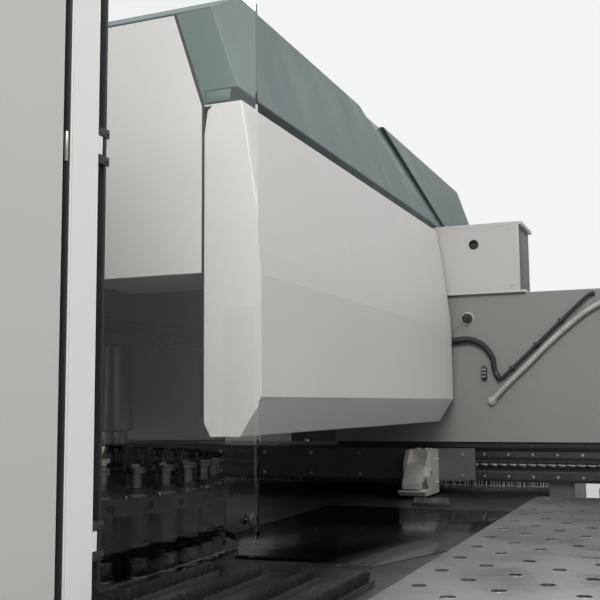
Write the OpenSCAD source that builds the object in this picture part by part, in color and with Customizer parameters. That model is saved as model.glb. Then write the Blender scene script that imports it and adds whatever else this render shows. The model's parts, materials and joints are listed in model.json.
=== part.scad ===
// Turret punch press with a closed bridge frame, in millimetres.
// X runs across the machine, Y from the front column to the rear one, Z up from the floor.

/* [Frame] */
// Front end of the frame
frame_front = -2450; // [-2600:10:-2350]
// Rear end of the frame
frame_back = 2450; // [2350:10:2600]
// Width over the two side plates
frame_w = 560; // [500:10:620]
// Height of the frame
frame_top = 1990; // [1900:10:2040]
// Thickness of the frame's plates
plate_t = 50; // [30:5:60]
// Front end of the window
win_front = -1510; // [-1550:10:-1500]
// Rear end of the window
win_back = 1600; // [1590:10:1700]
// Floor of the window
win_low = 800; // [760:10:810]
// Roof of the window
win_high = 1450; // [1420:10:1480]
// Corner radius of the window
win_r = 90; // [40:5:120]
// Thickness of the foot plates
foot_t = 40; // [25:5:60]
// Diameter of the floor anchor holes
anchor_d = 33; // [22:1:40]
// Half the spacing of the anchor holes across the machine
anchor_x = 380; // [360:5:420]
// Half the spacing of the anchor holes along the machine
anchor_y = 2300; // [2200:10:2330]
// Diameter of the levelling screws
level_d = 30; // [20:2:36]

/* [Turret] */
// Centre of the turret along the machine
turret_y = -800; // [-805:1:-790]
// Number of tool stations
stations = 40; // [20:4:40]
// Radius of the ring of stations
ring_r = 500; // [490:1:505]
// Radius of both turret discs
disc_r = 545; // [540:1:550]
// Top of the upper disc
rim_top = 1080; // [1076:1:1090]
// Thickness of the upper disc
rim_t = 30; // [24:1:34]
// Outer diameter of a tool guide
guide_d = 54; // [44:1:60]
// Lower end of the tool guides
guide_low = 988; // [986:1:992]
// Diameter of a punch stem
stem_d = 30; // [20:1:34]
// Diameter of a punch head
head_d = 46; // [38:1:52]
// Height of a punch head over the disc
head_h = 60; // [60:1:64]
// Thickness of a punch head
head_t = 17; // [12:1:17]
// Top of the lower disc
lower_top = 925; // [915:1:930]
// Thickness of the lower disc
lower_t = 55; // [50:1:58]
// Bore of a die
die_bore = 33; // [31:1:38]
// Diameter of both turret shafts
shaft_d = 120; // [90:2:140]
// Radius of the large pulleys
pulley_r = 160; // [140:5:180]
// Width of the drive belts
belt_w = 20; // [16:1:24]
// Diameter of the drive shaft
drive_d = 40; // [30:2:44]
// Radius of the small pulleys
pinion_r = 56; // [45:1:60]
// Diameter of the index pins
pin_d = 16; // [10:1:18]

/* [Ram] */
// Diameter of the ram
ram_d = 90; // [70:2:110]
// Diameter of the striker
striker_d = 64; // [50:2:80]
// Diameter of the cylinder barrel
barrel_d = 200; // [160:5:230]

/* [Hoods] */
// Outer face of the side hoods
hood_x = 720; // [700:5:760]
// Near end of the hoods
hood_front = -900; // [-905:5:-880]
// Far end of the hoods
hood_back = 655; // [600:5:665]
// Bottom of the hoods
hood_low = 1190; // [1180:5:1220]
// Height of the lower bend
hood_bend = 1266; // [1250:2:1300]
// Height at which the side starts to lean inwards
hood_lean = 1500; // [1450:10:1600]
// Top of the hoods
hood_top = 1848; // [1820:2:1860]
// How far the side leans in at the top
hood_lean_in = 44; // [20:2:60]
// Width of the bottom face
hood_foot = 64; // [50:2:80]
// Width of the near end face at the top
hood_end_w = 76; // [66:2:90]
// Thickness of the sheet covers
sheet_t = 4; // [2:0.5:5]

/* [Roof] */
// Height of the eave strips
eave_h = 27; // [20:1:32]
// How far the eave stands in from the hood
eave_in = 51; // [48:1:60]
// Top of the roof caps
roof_z = 2160; // [2120:5:2200]
// Half width of the roof's flat top
roof_half = 574; // [560:2:590]
// Height of the near end of the roof
nose_z = 2052; // [2040:2:2070]
// Length of the sloping near end
nose_run = 200; // [150:10:240]
// Length of the front cap along its top
cap_len = 1042; // [1000:10:1060]
// Width of the dark band
band_w = 240; // [200:5:260]
// Rear end of the roof
roof_back = 1450; // [1400:10:1500]
// Lower edge of the nose covers
nose_low = 1509; // [1490:5:1530]

/* [Column covers] */
// Front face of the front column's cover
cover_front = -2530; // [-2640:10:-2520]
// Height of the front column's cover
cover_top = 2100; // [2060:10:2140]
// Outer face of the rear column's cover
rear_cover_x = 450; // [400:10:500]
// Rear face of the rear column's cover
cover_back = 2530; // [2520:10:2640]
// Gap under the covers
cover_low = 60; // [50:5:100]
// Width of the door posts
post_w = 58; // [50:1:62]
// Depth of the door posts
post_d = 40; // [30:1:44]
// Gap between column cover and door post
post_gap = 10; // [6:1:14]

/* [Tables] */
// Height at which the sheet runs
pass_z = 968; // [966:1:972]
// Top of the fixed centre table
centre_z = 940; // [936:1:944]
// Half width of the centre table
centre_half = 1000; // [980:5:1005]
// Rear edge of the centre table
centre_back = 1540; // [1400:10:1550]
// Thickness of the table plates
table_t = 15; // [10:1:18]
// Inner edge of the wing tables
wing_in = 1015; // [1012:1:1020]
// Outer edge of the wing tables
wing_out = 2450; // [2300:10:2600]
// Front edge of the wing tables
wing_front = -1350; // [-1400:10:-1300]
// Rear edge of the wing tables
wing_back = 470; // [440:5:480]
// Pitch of the table holes across the machine
hole_px = 63; // [60:1:80]
// Pitch of the table holes along the machine
hole_py = 145; // [126:1:150]
// Diameter of the table holes
hole_d = 22; // [16:1:26]
// Height of the bristles over the centre table
bristle_h = 27; // [20:1:28]

/* [Crossbeam] */
// Front face of the crossbeam
beam_front = 740; // [735:1:745]
// Depth of the crossbeam
beam_d = 400; // [360:10:420]
// Underside of the crossbeam
beam_low = 985; // [984:1:988]
// Top of the crossbeam
beam_top = 1100; // [1098:1:1104]
// Half length of the crossbeam
beam_half = 2150; // [2140:10:2250]
// Wall of the crossbeam
beam_wall = 12; // [8:1:16]
// Centre of the Y rails
rail_x = 1060; // [1058:1:1062]
// Top of the side beams
side_top = 780; // [770:1:785]
// Height of the Y rails
rail_h = 32; // [28:1:34]
// Width of the Y rails
rail_w = 30; // [26:1:34]
// Diameter of the Y screws
y_screw_d = 32; // [24:2:36]
// Diameter of the X screw
x_screw_d = 20; // [16:1:22]
// Half length of the X carriage
carriage_half = 780; // [760:10:800]

/* [Clamps] */
// Distance of a clamp from the middle
clamp_x = 610; // [600:5:640]
// Width of a clamp
clamp_w = 90; // [80:2:100]
// Width of a clamp jaw
jaw_w = 62; // [50:1:66]
// Diameter of the jaw pins
jaw_pin_d = 14; // [10:1:16]

/* [Service housing] */
// Front face of the housing
housing_y = 690; // [680:5:700]
// Underside of the housing
housing_low = 1120; // [1112:2:1140]
// Top of the housing
housing_top = 1622; // [1600:2:1630]
// Free end of the housing
housing_end = 1600; // [1500:10:1800]
// Depth of the housing
housing_d = 240; // [200:10:280]
// Height of the box on the housing
box_h = 244; // [230:2:250]
// Right side of the box
box_x = 950; // [900:5:980]
// Diameter of the hole in the box
box_hole_d = 30; // [20:1:40]

/* [Tool change doors] */
// Thickness of the door pane
pane_t = 8; // [5:1:10]
// Lower edge of the door
door_low = 1000; // [990:5:1040]
// Upper edge of the door
door_high = 2080; // [1980:10:2090]
// Diameter of the door hinge barrels
hinge_d = 12; // [8:1:14]

/* [Cabinet, pump unit and pendant] */
// Height of the electric cabinet
cabinet_h = 1900; // [1500:10:1950]
// Width of the electric cabinet
cabinet_w = 600; // [500:10:600]
// Depth of the electric cabinet
cabinet_d = 500; // [400:10:600]
// Height of the oil tank
tank_h = 620; // [400:10:640]
// Length of the oil tank
tank_l = 640; // [500:10:680]
// Length of the pendant arm
arm_l = 520; // [400:10:700]
// Width of the pendant
pendant_w = 420; // [360:10:480]
// Height of the pendant
pendant_h = 520; // [440:10:600]
// Diameter of the emergency stop button
estop_d = 40; // [30:1:44]

/* [Hidden] */
$fn = 48;

// Clearances
gap = 0.3;
run_fit = 0.05;
eps = 0.5;

// Finishes
light_grey = [0.78, 0.77, 0.74];
mid_grey = [0.52, 0.52, 0.50];
dark_grey = [0.25, 0.26, 0.27];
teal = [0.42, 0.50, 0.47];
dark_green = [0.13, 0.19, 0.20];
steel = [0.62, 0.63, 0.64];
black = [0.08, 0.08, 0.08];
red = [0.75, 0.10, 0.08];
green = [0.15, 0.50, 0.20];

// Places worked out from the driving sizes
side_x = frame_w / 2;
punch_y = turret_y + ring_r;
head_top = rim_top + head_h;
die_top = pass_z;
step = 360 / stations;
belt_z = 1200;
low_belt_z = lower_top - lower_t - 2 * belt_w;
drive_x = -120;
drive_y = win_front + 110;
hood_top_x = hood_x - hood_lean_in;
hood_in = hood_top_x - hood_end_w;
hood_inner = hood_x - 127;
eave_x = hood_x - eave_in;
eave_z = hood_top + eave_h;
slant = 1.74;
post_y = win_front + post_gap + 2;
door_hinge_y = post_y + post_w + 10;
door_hinge_x = hood_x - hinge_d / 2 - 1;
door_y1 = hood_front - 6;
table_front = post_y + post_w + 14;
beam_mid = (beam_low + beam_top) / 2;
screw_x = rail_x + 90;
screw_z = side_top + 55;
x_rail_low = beam_low + 20;
x_rail_high = beam_top - 22;
x_screw_y = beam_front - 14;
x_screw_z = (x_rail_low + x_rail_high) / 2;
carriage_y = beam_front - 50;
jaw_y = carriage_y - 100;
jaw_z = pass_z + 62;

// Helpers
module block(lo, hi) {
    translate(lo)
        cube(hi - lo);
}

// A shape drawn in X and Z, pulled along Y
module along_y(from, to) {
    translate([0, to, 0])
        rotate([90, 0, 0])
            linear_extrude(to - from)
                children();
}

// A shape drawn in Y and Z, pulled along X
module along_x(from, to) {
    translate([from, 0, 0])
        rotate([90, 0, 90])
            linear_extrude(to - from)
                children();
}

module both_sides() {
    children();
    mirror([1, 0, 0])
        children();
}

module rounded(lo, hi, r) {
    translate(lo + [r, 0])
        square(hi - lo - [2 * r, 0]);
    translate(lo + [0, r])
        square(hi - lo - [0, 2 * r]);
    for (x = [lo[0] + r, hi[0] - r])
        for (y = [lo[1] + r, hi[1] - r])
            translate([x, y])
                circle(r);
}

module bore_y(x, y0, y1, z, d) {
    translate([x, y1, z])
        rotate([90, 0, 0])
            cylinder(h = y1 - y0, d = d);
}

module bore_x(x0, x1, y, z, d) {
    translate([x0, y, z])
        rotate([0, 90, 0])
            cylinder(h = x1 - x0, d = d);
}

// A bent sheet: its path, and the same path a thickness to the left
function unit(v) = v / norm(v);
function turn(v) = [-v[1], v[0]];
function beside(p, i, t) =
    let (a = turn(unit(p[max(i, 1)] - p[max(i, 1) - 1])))
    let (b = turn(unit(p[min(i + 1, len(p) - 1)] - p[min(i, len(p) - 2)])))
    let (m = unit(a + b))
    p[i] + m * t / (m * a);
function bent(p, t) = concat(p, [for (i = [len(p) - 1:-1:0]) beside(p, i, t)]);

// A round cord swept along a smooth curve through its points
function spline(a, b, c, d, u) =
    0.5 * (2 * b + (c - a) * u + (2 * a - 5 * b + 4 * c - d) * u * u + (3 * b - a - 3 * c + d) * u * u * u);
function smooth(p, n) = [
    for (i = [0:len(p) - 2])
        for (k = [0:(i == len(p) - 2 ? n : n - 1)])
            spline(p[max(i - 1, 0)], p[i], p[i + 1], p[min(i + 2, len(p) - 1)], k / n)
];
function heading(c, i) = unit(c[min(i + 1, len(c) - 1)] - c[max(i - 1, 0)]);

// The cords lie in a plane across Y, so each ring stands between Y and the route's normal
module cord(p, n, r0, r1, sides) {
    c = smooth(p, n);
    rings = len(c);
    pts = [
        for (i = [0:rings - 1])
            let (h = heading(c, i))
            let (m = unit(cross(h, [0, 1, 0])))
            let (w = cross(m, h))
            let (r = r0 + (r1 - r0) * i / (rings - 1))
            for (k = [0:sides - 1])
                c[i] + r * cos(360 * k / sides) * m + r * sin(360 * k / sides) * w
    ];
    skin = [
        for (i = [0:rings - 2])
            for (k = [0:sides - 1])
                let (q = (k + 1) % sides)
                [i * sides + k, i * sides + q, (i + 1) * sides + q, (i + 1) * sides + k]
    ];
    near = [[for (k = [sides - 1:-1:0]) k]];
    far = [[for (k = [0:sides - 1]) (rings - 1) * sides + k]];
    polyhedron(points = pts, faces = concat(near, skin, far));
}

// Frame weldment
frame_chamfer = 160;
access_d = 260;
foot_half = 140;
foot_edge = 80;

module frame_outline(g) {
    c = frame_chamfer;
    polygon([
        [frame_front + g, g],
        [frame_front + g, frame_top - c - g * 0.4],
        [frame_front + c + g * 0.4, frame_top - g],
        [frame_back - c - g * 0.4, frame_top - g],
        [frame_back - g, frame_top - c - g * 0.4],
        [frame_back - g, g]
    ]);
}

module window_outline(g) {
    rounded([win_front - g, win_low - g], [win_back + g, win_high + g], win_r + g);
}

column_ys = [(frame_front + win_front) / 2 - 20, (win_back + frame_back) / 2 + 20];
module access_holes() {
    for (y = concat(column_ys, [for (u = [0.29, 0.65, 0.9]) win_front + u * (win_back - win_front)]))
        translate([y, (frame_top + win_high) / 2 + 20])
            circle(d = access_d);
    for (y = concat(column_ys, [for (u = [0.17, 0.8]) win_front + u * (win_back - win_front)]))
        translate([y, win_low / 2])
            circle(d = access_d);
}

module o_frame() {
    color(light_grey)
        difference() {
            union() {
                along_x(-side_x, side_x)
                    frame_outline(0);
                for (y = [-anchor_y, anchor_y])
                    block([-anchor_x - foot_edge, y - foot_half, 0], [anchor_x + foot_edge, y + foot_half, foot_t]);
                both_sides()
                    for (y = [-anchor_y - foot_half + 20, anchor_y + foot_half - 50])
                        along_y(y, y + 30)
                            polygon([[side_x - 1, foot_t - 1], [anchor_x - 40, foot_t - 1], [side_x - 1, foot_t + 160]]);
            }
            along_x(-side_x - 1, side_x + 1)
                window_outline(0);
            along_x(plate_t - side_x, side_x - plate_t)
                difference() {
                    frame_outline(plate_t);
                    window_outline(plate_t);
                }
            both_sides()
                along_x(side_x - plate_t - 1, side_x + 1)
                    access_holes();
            for (x = [-anchor_x, anchor_x], y = [-anchor_y, anchor_y])
                translate([x, y, -1])
                    cylinder(h = foot_t + 2, d = anchor_d);
            for (x = [-anchor_x, anchor_x], y = [-anchor_y, anchor_y], s = [-1, 1])
                translate([x, y + s * foot_half / 2, -1])
                    cylinder(h = foot_t + 2, d = level_d + 2 * gap);
            translate([0, turret_y, win_low - plate_t - 1])
                cylinder(h = plate_t + 2, d = shaft_d + 2 * run_fit);
            translate([0, turret_y, win_high - 1])
                cylinder(h = plate_t + 2, d = shaft_d + 2 * run_fit);
            translate([0, punch_y, win_high - 1])
                cylinder(h = plate_t + 2, d = barrel_d);
            translate([0, punch_y, win_low - plate_t - 1])
                cylinder(h = plate_t + 2, d = 120);
            translate([drive_x, drive_y, win_low - plate_t - 1])
                cylinder(h = plate_t + 2, d = drive_d + 2 * run_fit);
            translate([drive_x, drive_y, win_high - 1])
                cylinder(h = plate_t + 2, d = drive_d + 2 * run_fit);
            for (z = [rim_top - rim_t / 2, lower_top - lower_t / 2])
                bore_y(0, win_front - plate_t - 1, win_front + 1, z, pin_d + 2 * run_fit);
        }
}

module levelling_screws() {
    color(steel)
        for (x = [-anchor_x, anchor_x], y = [-anchor_y, anchor_y], s = [-1, 1])
            translate([x, y + s * foot_half / 2, 0]) {
                cylinder(h = foot_t + 30, d = level_d);
                translate([0, 0, foot_t + 30])
                    cylinder(h = 18, d = level_d * 1.7, $fn = 6);
                translate([0, 0, foot_t])
                    difference() {
                        cylinder(h = 22, d = level_d * 1.7, $fn = 6);
                        translate([0, 0, -1])
                            cylinder(h = 24, d = level_d - 1);
                    }
            }
}

// Side beams with their arms, legs and the floor rail of the wing table
side_w = 160;
side_h = 140;
side_wall = 10;
side_in = rail_x - 120;
side_out = side_in + side_w;
side_front = -1480;
side_back = 1780;
leg_ys = [-1400, 80, 1500];
leg_w = 60;
floor_rail_x = wing_out - 70;
floor_rail_w = 60;
floor_rail_h = 20;

module side_beam() {
    color(mid_grey)
        difference() {
            union() {
                block([side_in, side_front, side_top - side_h], [side_out, side_back, side_top]);
                for (y = leg_ys) {
                    block([side_in + 30, y, 0], [side_out - 30, y + leg_w, side_top - side_h + 1]);
                    block([side_in, y - 20, 0], [side_out, y + leg_w + 20, floor_rail_h]);
                    block([side_x, y, side_top - side_h + 20], [side_in + 1, y + leg_w, side_top - 20]);
                }
                for (y = [leg_ys[0], leg_ys[1]])
                    block([side_out - 1, y, 0], [floor_rail_x + 1, y + leg_w, floor_rail_h]);
                block([floor_rail_x, leg_ys[0], 0], [floor_rail_x + floor_rail_w, leg_ys[1] + leg_w, floor_rail_h]);
                for (y = [screw_front - 40, screw_back])
                    block([side_out - 1, y, side_top - side_h + 20], [screw_x + 40, y + 40, screw_z + 30]);
            }
            block([side_in + side_wall, side_front - 1, side_top - side_h + side_wall],
                [side_out - side_wall, side_back + 1, side_top - side_wall]);
            bore_y(screw_x, screw_front - 41, screw_front + 1, screw_z, y_screw_d + 2 * run_fit);
            bore_y(screw_x, screw_back - 1, screw_back + 41, screw_z, y_screw_d + 2 * run_fit);
        }
}

module side_beam_right() {
    side_beam();
}

module side_beam_left() {
    mirror([1, 0, 0])
        side_beam();
}

// Column covers
module front_column_cover() {
    y0 = win_front + 2;
    color(light_grey)
        translate([0, 0, cover_low])
            linear_extrude(cover_top - cover_low)
                polygon(bent([
                    [side_x, y0], [hood_x - 12, y0], [hood_x, y0 - 12],
                    [hood_x, cover_front + 30], [hood_x - 30, cover_front],
                    [30 - hood_x, cover_front], [-hood_x, cover_front + 30],
                    [-hood_x, y0 - 12], [12 - hood_x, y0], [-side_x, y0]
                ], -sheet_t));
    color(light_grey) {
        block([arm_x - arm_boss / 2, arm_y - arm_boss / 2, arm_z - 40], [1 - hood_x, arm_y + arm_boss / 2, arm_z - gap]);
        translate([arm_x, arm_y, arm_z - 1])
            cylinder(h = arm_tube + 1, d = arm_pin_d);
    }
}

// A lid with sloping edges, hollow from below and closed at both ends
lid_lap = 30;
lid_edge = 80;
lid_h = 60;
module lid_section(half, drop) {
    polygon([
        [-half, cover_top - lid_lap - drop], [-half, cover_top + sheet_t - drop],
        [lid_edge - half, cover_top + lid_h - drop], [half - lid_edge, cover_top + lid_h - drop],
        [half, cover_top + sheet_t - drop], [half, cover_top - lid_lap - drop]
    ]);
}

module front_roof_cover() {
    half = hood_x + gap;
    y0 = cover_front - gap;
    y1 = win_front + 2 + gap;
    color(teal)
        difference() {
            along_y(y0 - sheet_t, y1 + sheet_t)
                lid_section(half + sheet_t, 0);
            along_y(y0, y1)
                lid_section(half, sheet_t - gap);
        }
}

module rear_column_cover() {
    y0 = win_back - 2;
    top = frame_top + 40;
    color(light_grey) {
        translate([0, 0, cover_low])
            linear_extrude(top - cover_low)
                polygon(bent([
                    [side_x, y0], [rear_cover_x - 12, y0], [rear_cover_x, y0 + 12],
                    [rear_cover_x, cover_back - 30], [rear_cover_x - 30, cover_back],
                    [30 - rear_cover_x, cover_back], [-rear_cover_x, cover_back - 30],
                    [-rear_cover_x, y0 + 12], [12 - rear_cover_x, y0], [-side_x, y0]
                ], sheet_t));
        block([12 - rear_cover_x, y0, top - sheet_t], [rear_cover_x - 12, cover_back - 30, top]);
    }
}

module door_posts() {
    color(light_grey)
        both_sides() {
            difference() {
                block([hood_x - post_d, post_y, cover_low], [hood_x, post_y + post_w, cover_top]);
                block([hood_x - post_d + 3, post_y + 3, cover_low - 1], [hood_x - 3, post_y + post_w - 3, cover_top + 1]);
            }
            for (z = [3 * cover_low, cover_top - 90])
                block([hood_x - post_d + 5, win_front + 2, z], [hood_x - 5, post_y + 1, z + 40]);
            for (z = hinge_zs)
                translate([door_hinge_x, door_hinge_y, z - 13]) {
                    cylinder(h = 26, d = hinge_d);
                    translate([-hinge_d / 2, post_y + post_w - door_hinge_y - 1, 0])
                        cube([hinge_d, door_hinge_y - post_y - post_w + 1, 26]);
                }
        }
}

// Hoods, nose covers and roof
lean_steps = 8;
lean_power = 1.3;
hood_side = [
    for (i = [lean_steps:-1:0])
        let (u = i / lean_steps)
        [hood_x - hood_lean_in * pow(u, lean_power), hood_lean + (hood_top - hood_lean) * u]
];
hood_bottom = [[hood_x, hood_bend], [hood_x - 49, hood_low], [hood_x - 49 - hood_foot, hood_low]];

module hood_end() {
    polygon(concat(
        [[hood_in + 16, hood_top], [hood_top_x, hood_top]],
        hood_side,
        hood_bottom,
        [[hood_inner, hood_low + 27], [hood_inner, hood_top - 60], [hood_in, hood_top - 14]]
    ));
}

module hood() {
    color(light_grey) {
        difference() {
            along_y(hood_front, hood_back)
                polygon(bent(concat(
                    [[side_x, hood_top]],
                    hood_side,
                    hood_bottom,
                    [[hood_inner, hood_low + 27], [hood_inner, hood_low + 120]]
                ), -sheet_t));
            block([side_x - 1, hood_front - 1, hood_top - sheet_t - 1],
                [hood_inner - 1, hood_front + nose_d + nose_gap, hood_top + 1]);
        }
        along_y(hood_front, hood_front + sheet_t)
            hood_end();
        along_y(hood_back - sheet_t, hood_back)
            hood_end();
    }
}

module hood_right() {
    hood();
}

module hood_left() {
    mirror([1, 0, 0])
        hood();
}

// The joint line between nose cover and cap, and where it meets the top
seam_top = roof_half - 47;
seam_x = hood_inner;
nose_gap = 5;
nose_d = 240;

module nose_face(g) {
    polygon([
        [side_x + g, nose_low + g],
        [seam_x - nose_gap - g, nose_low + g],
        [seam_x - nose_gap - g, hood_top - 3],
        [seam_top - nose_gap - g, nose_z - nose_gap - g],
        [side_x + 80, nose_z - nose_gap - g],
        [side_x + g, nose_z - 44]
    ]);
}

module nose_covers() {
    color(light_grey)
        both_sides()
            difference() {
                along_y(hood_front, hood_front + nose_d)
                    nose_face(0);
                along_y(hood_front + sheet_t, hood_front + nose_d + 1)
                    nose_face(sheet_t);
            }
}

module eave_strips() {
    color(dark_green)
        both_sides()
            along_y(hood_front, hood_back)
                polygon([
                    [seam_x + 4, hood_top], [eave_x - 14, hood_top], [eave_x, eave_z - 2],
                    [eave_x, eave_z], [seam_x + 4, eave_z]
                ]);
}

module roof_section(g) {
    polygon([
        [-eave_x + g, eave_z - (g > 0 ? 1 : 0)], [g - roof_half, roof_z - g],
        [roof_half - g, roof_z - g], [eave_x - g, eave_z - (g > 0 ? 1 : 0)]
    ]);
}

cap_top_y = hood_front + nose_run + cap_len - 200;
function slanted(y, z) = y + slant * (roof_z - z);

module roof_part(side, g) {
    intersection() {
        along_y(hood_front - 1, roof_back + 1)
            roof_section(g);
        along_x(-hood_x, hood_x)
            polygon(side);
    }
}

// The roof's end walls make room for the frame's upper beam
module beam_room() {
    block([-side_x - gap, hood_front - 1, eave_z - 2], [side_x + gap, roof_back + 1, frame_top + gap]);
}

// Each part of the roof stands on the frame by slanted bulkheads, y is where one meets the roof
bulk_t = 6;
bulk_in = 20;
module bulkheads(ys, g) {
    low = frame_top + gap;
    high = roof_z - g - 1;
    for (y = ys)
        along_x(bulk_in - side_x, side_x - bulk_in)
            polygon([
                [slanted(y, low), low], [slanted(y + bulk_t, low), low],
                [slanted(y + bulk_t, high), high], [slanted(y, high), high]
            ]);
}

module roof_cap_front() {
    t = sheet_t;
    low = eave_z;
    color(teal) {
        bulkheads([hood_front + 200, hood_front + 700], 0);
        difference() {
            roof_part([
                [hood_front, low], [hood_front, nose_z], [hood_front + nose_run, roof_z],
                [cap_top_y, roof_z], [slanted(cap_top_y, low), low]
            ], 0);
            roof_part([
                [hood_front + t, low - 1], [hood_front + t, nose_z - t], [hood_front + nose_run, roof_z - t],
                [cap_top_y - 2 * t, roof_z - t], [slanted(cap_top_y - 2 * t, low - 1), low - 1]
            ], t);
            along_y(hood_front - 1, hood_front + t + 1)
                polygon([
                    [-seam_x, low - 1], [-seam_top - 8, nose_z - t], [seam_top + 8, nose_z - t], [seam_x, low - 1]
                ]);
            beam_room();
        }
    }
}

module roof_band() {
    t = sheet_t;
    low = eave_z;
    y0 = cap_top_y + gap;
    y1 = cap_top_y + band_w;
    inset = 8;
    color(dark_green) {
        bulkheads([(y0 + y1) / 2], inset);
        difference() {
            roof_part([[y0, roof_z], [y1, roof_z], [slanted(y1, low), low], [slanted(y0, low), low]], inset);
            roof_part([
                [y0 + 2 * t, roof_z], [y1 - 2 * t, roof_z],
                [slanted(y1 - 2 * t, low - 1), low - 1], [slanted(y0 + 2 * t, low - 1), low - 1]
            ], inset + t);
            beam_room();
        }
    }
}

module roof_cap_rear() {
    t = sheet_t;
    low = eave_z;
    y0 = cap_top_y + band_w + gap;
    color(teal) {
        bulkheads([y0 + 200, roof_back - 400], 0);
        difference() {
            roof_part([[y0, roof_z], [roof_back, roof_z], [roof_back, low], [slanted(y0, low), low]], 0);
            roof_part([
                [y0 + 2 * t, roof_z], [roof_back - t, roof_z], [roof_back - t, low - 1],
                [slanted(y0 + 2 * t, low - 1), low - 1]
            ], t);
            beam_room();
        }
    }
}

// Service housing with the box, the latch and the cable on its face
box_low = housing_top;
box_front = housing_y - 10;
box_in = 600;
latch_x = 769;
latch_z = 1541;
latch_d = 34;
latch_shaft_d = 16;

// A sheet housing on each side of the frame, bolted to it by two flanges
flange_w = 12;
flange_h = 90;
module housing_shell() {
    w = sheet_t;
    back = housing_y + housing_d;
    difference() {
        block([side_x, housing_y, housing_low], [housing_end, back, housing_top]);
        block([side_x - 1, housing_y + w, housing_low + w], [housing_end - w, back - w, housing_top - w]);
    }
    for (z = [[housing_low, housing_low + flange_h], [win_high + plate_t / 2, housing_top]])
        block([side_x, housing_y + w - 1, z[0]], [side_x + flange_w, back - w + 1, z[1]]);
}

module service_housing() {
    color(mid_grey) {
        difference() {
            housing_shell();
            bore_y(latch_x, housing_y - 1, housing_y + sheet_t + 1, latch_z, latch_shaft_d + 2 * run_fit);
        }
        mirror([1, 0, 0])
            housing_shell();
    }
}

module junction_box() {
    w = sheet_t;
    top = box_low + box_h;
    color(light_grey)
        difference() {
            block([box_in, box_front, box_low], [box_x, housing_y + housing_d - 20, top]);
            block([box_in + w, box_front + w, box_low + w], [box_x - w, housing_y + housing_d - 20 - w, top - w]);
            bore_y(box_x - 150, box_front - 1, box_front + w + 1, top - 71, box_hole_d);
        }
}

module housing_latch() {
    color(black) {
        bore_y(latch_x, housing_y - 14, housing_y - gap, latch_z, latch_d);
        bore_y(latch_x, housing_y - gap - 1, housing_y + 12, latch_z, latch_shaft_d);
    }
    color(steel)
        block([latch_x - 5, housing_y - 26, latch_z - latch_d / 2 + 2], [latch_x + 5, housing_y - 13, latch_z + latch_d / 2 - 2]);
}

hose_r = 12.5;
cable_r = 5.5;
conduit_r = 11;
clip_in = cable_r + 1 + gap;
cable_y = housing_y - 13;
hose_route = [
    [660, cable_y, 1458], [720, cable_y, 1464], [776, cable_y, 1466], [822, cable_y, 1446],
    [852, cable_y, 1405], [858, cable_y, 1368], [868, cable_y, 1342]
];
cable_route = [
    [868, cable_y, 1342], [884, cable_y, 1336], [918, cable_y, 1365], [1000, cable_y, 1441],
    [1083, cable_y, 1519], [1165, cable_y, 1594], [1186, cable_y, 1606]
];
conduit_route = [
    [846, cable_y, 1250], [905, cable_y, 1310], [970, cable_y, 1371], [1040, cable_y, 1438],
    [1120, cable_y, 1505], [1180, cable_y, 1548], [1250, cable_y, 1580], [1340, cable_y, 1590]
];

module control_cable() {
    color(black) {
        cord(hose_route, 4, hose_r, cable_r + 2, 12);
        bore_y(hose_route[0][0], cable_y, housing_y, hose_route[0][2], 2 * hose_r + 5);
        cord(cable_route, 5, cable_r + 1, cable_r, 10);
        bore_y(cable_route[6][0], cable_y, housing_y, cable_route[6][2], 2 * cable_r + 6);
    }
}

module cable_conduit() {
    color(light_grey) {
        cord(conduit_route, 3, conduit_r, conduit_r, 12);
        for (p = [conduit_route[0], conduit_route[7]])
            bore_y(p[0], cable_y, housing_y, p[2], 2 * conduit_r + 4);
    }
}

// Each clip stands on the housing beside the cable and reaches over it
module cable_clips() {
    color(black)
        for (p = [[918, 1365], [1000, 1441], [1083, 1519]])
            translate([p[0], 0, p[1]])
                rotate([0, -43, 0])
                    difference() {
                        block([-4, cable_y - clip_in - 2, -clip_in - 2], [4, housing_y, clip_in + 2]);
                        block([-5, cable_y - clip_in, -clip_in], [5, housing_y - 3, clip_in]);
                    }
}

module terminal_block() {
    x = 822;
    z = 1352;
    color(black)
        block([x - 9, housing_y - 16, z - 20], [x + 9, housing_y, z + 20]);
    color(light_grey)
        for (i = [0:1], k = [0:2])
            bore_y(x - 4 + 8 * i, housing_y - 18, housing_y - 15, z - 12 + 12 * k, 6);
}

// Tables
brush_xs = [for (i = [0:3]) 640 + 100 * i];
brush_front = -1400;
brush_back = -940;
rear_brush_x = 664;
rear_brush_y = 320;
rear_brush_l = 120;
turret_clear = 22;
drive_clear = 15;
table_post_ys = [table_front + 20, -360, 240, 840, centre_back - 100];

module centre_table() {
    z0 = centre_z - table_t;
    color(steel)
        difference() {
            union() {
                block([-centre_half, table_front, z0], [centre_half, centre_back, centre_z]);
                both_sides() {
                    for (y = table_post_ys)
                        block([side_in + 4, y, side_top], [side_in + 40, y + 50, z0 + 1]);
                    block([side_in + 4, table_front, z0 - 40], [side_in + 12, centre_back, z0 + 1]);
                }
                for (x = [-160, 120])
                    block([x, -150, win_low], [x + 40, win_back - win_r - 10, z0 + 1]);
            }
            translate([0, turret_y, z0 - 60])
                cylinder(h = 120, r = disc_r + turret_clear, $fn = 96);
            translate([drive_x, drive_y, z0 - 1])
                cylinder(h = table_t + 2, r = drive_d / 2 + drive_clear);
            block([drive_x - drive_d / 2 - drive_clear, table_front - 1, z0 - 1],
                [drive_x + drive_d / 2 + drive_clear, drive_y, centre_z + 1]);
        }
}

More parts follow.
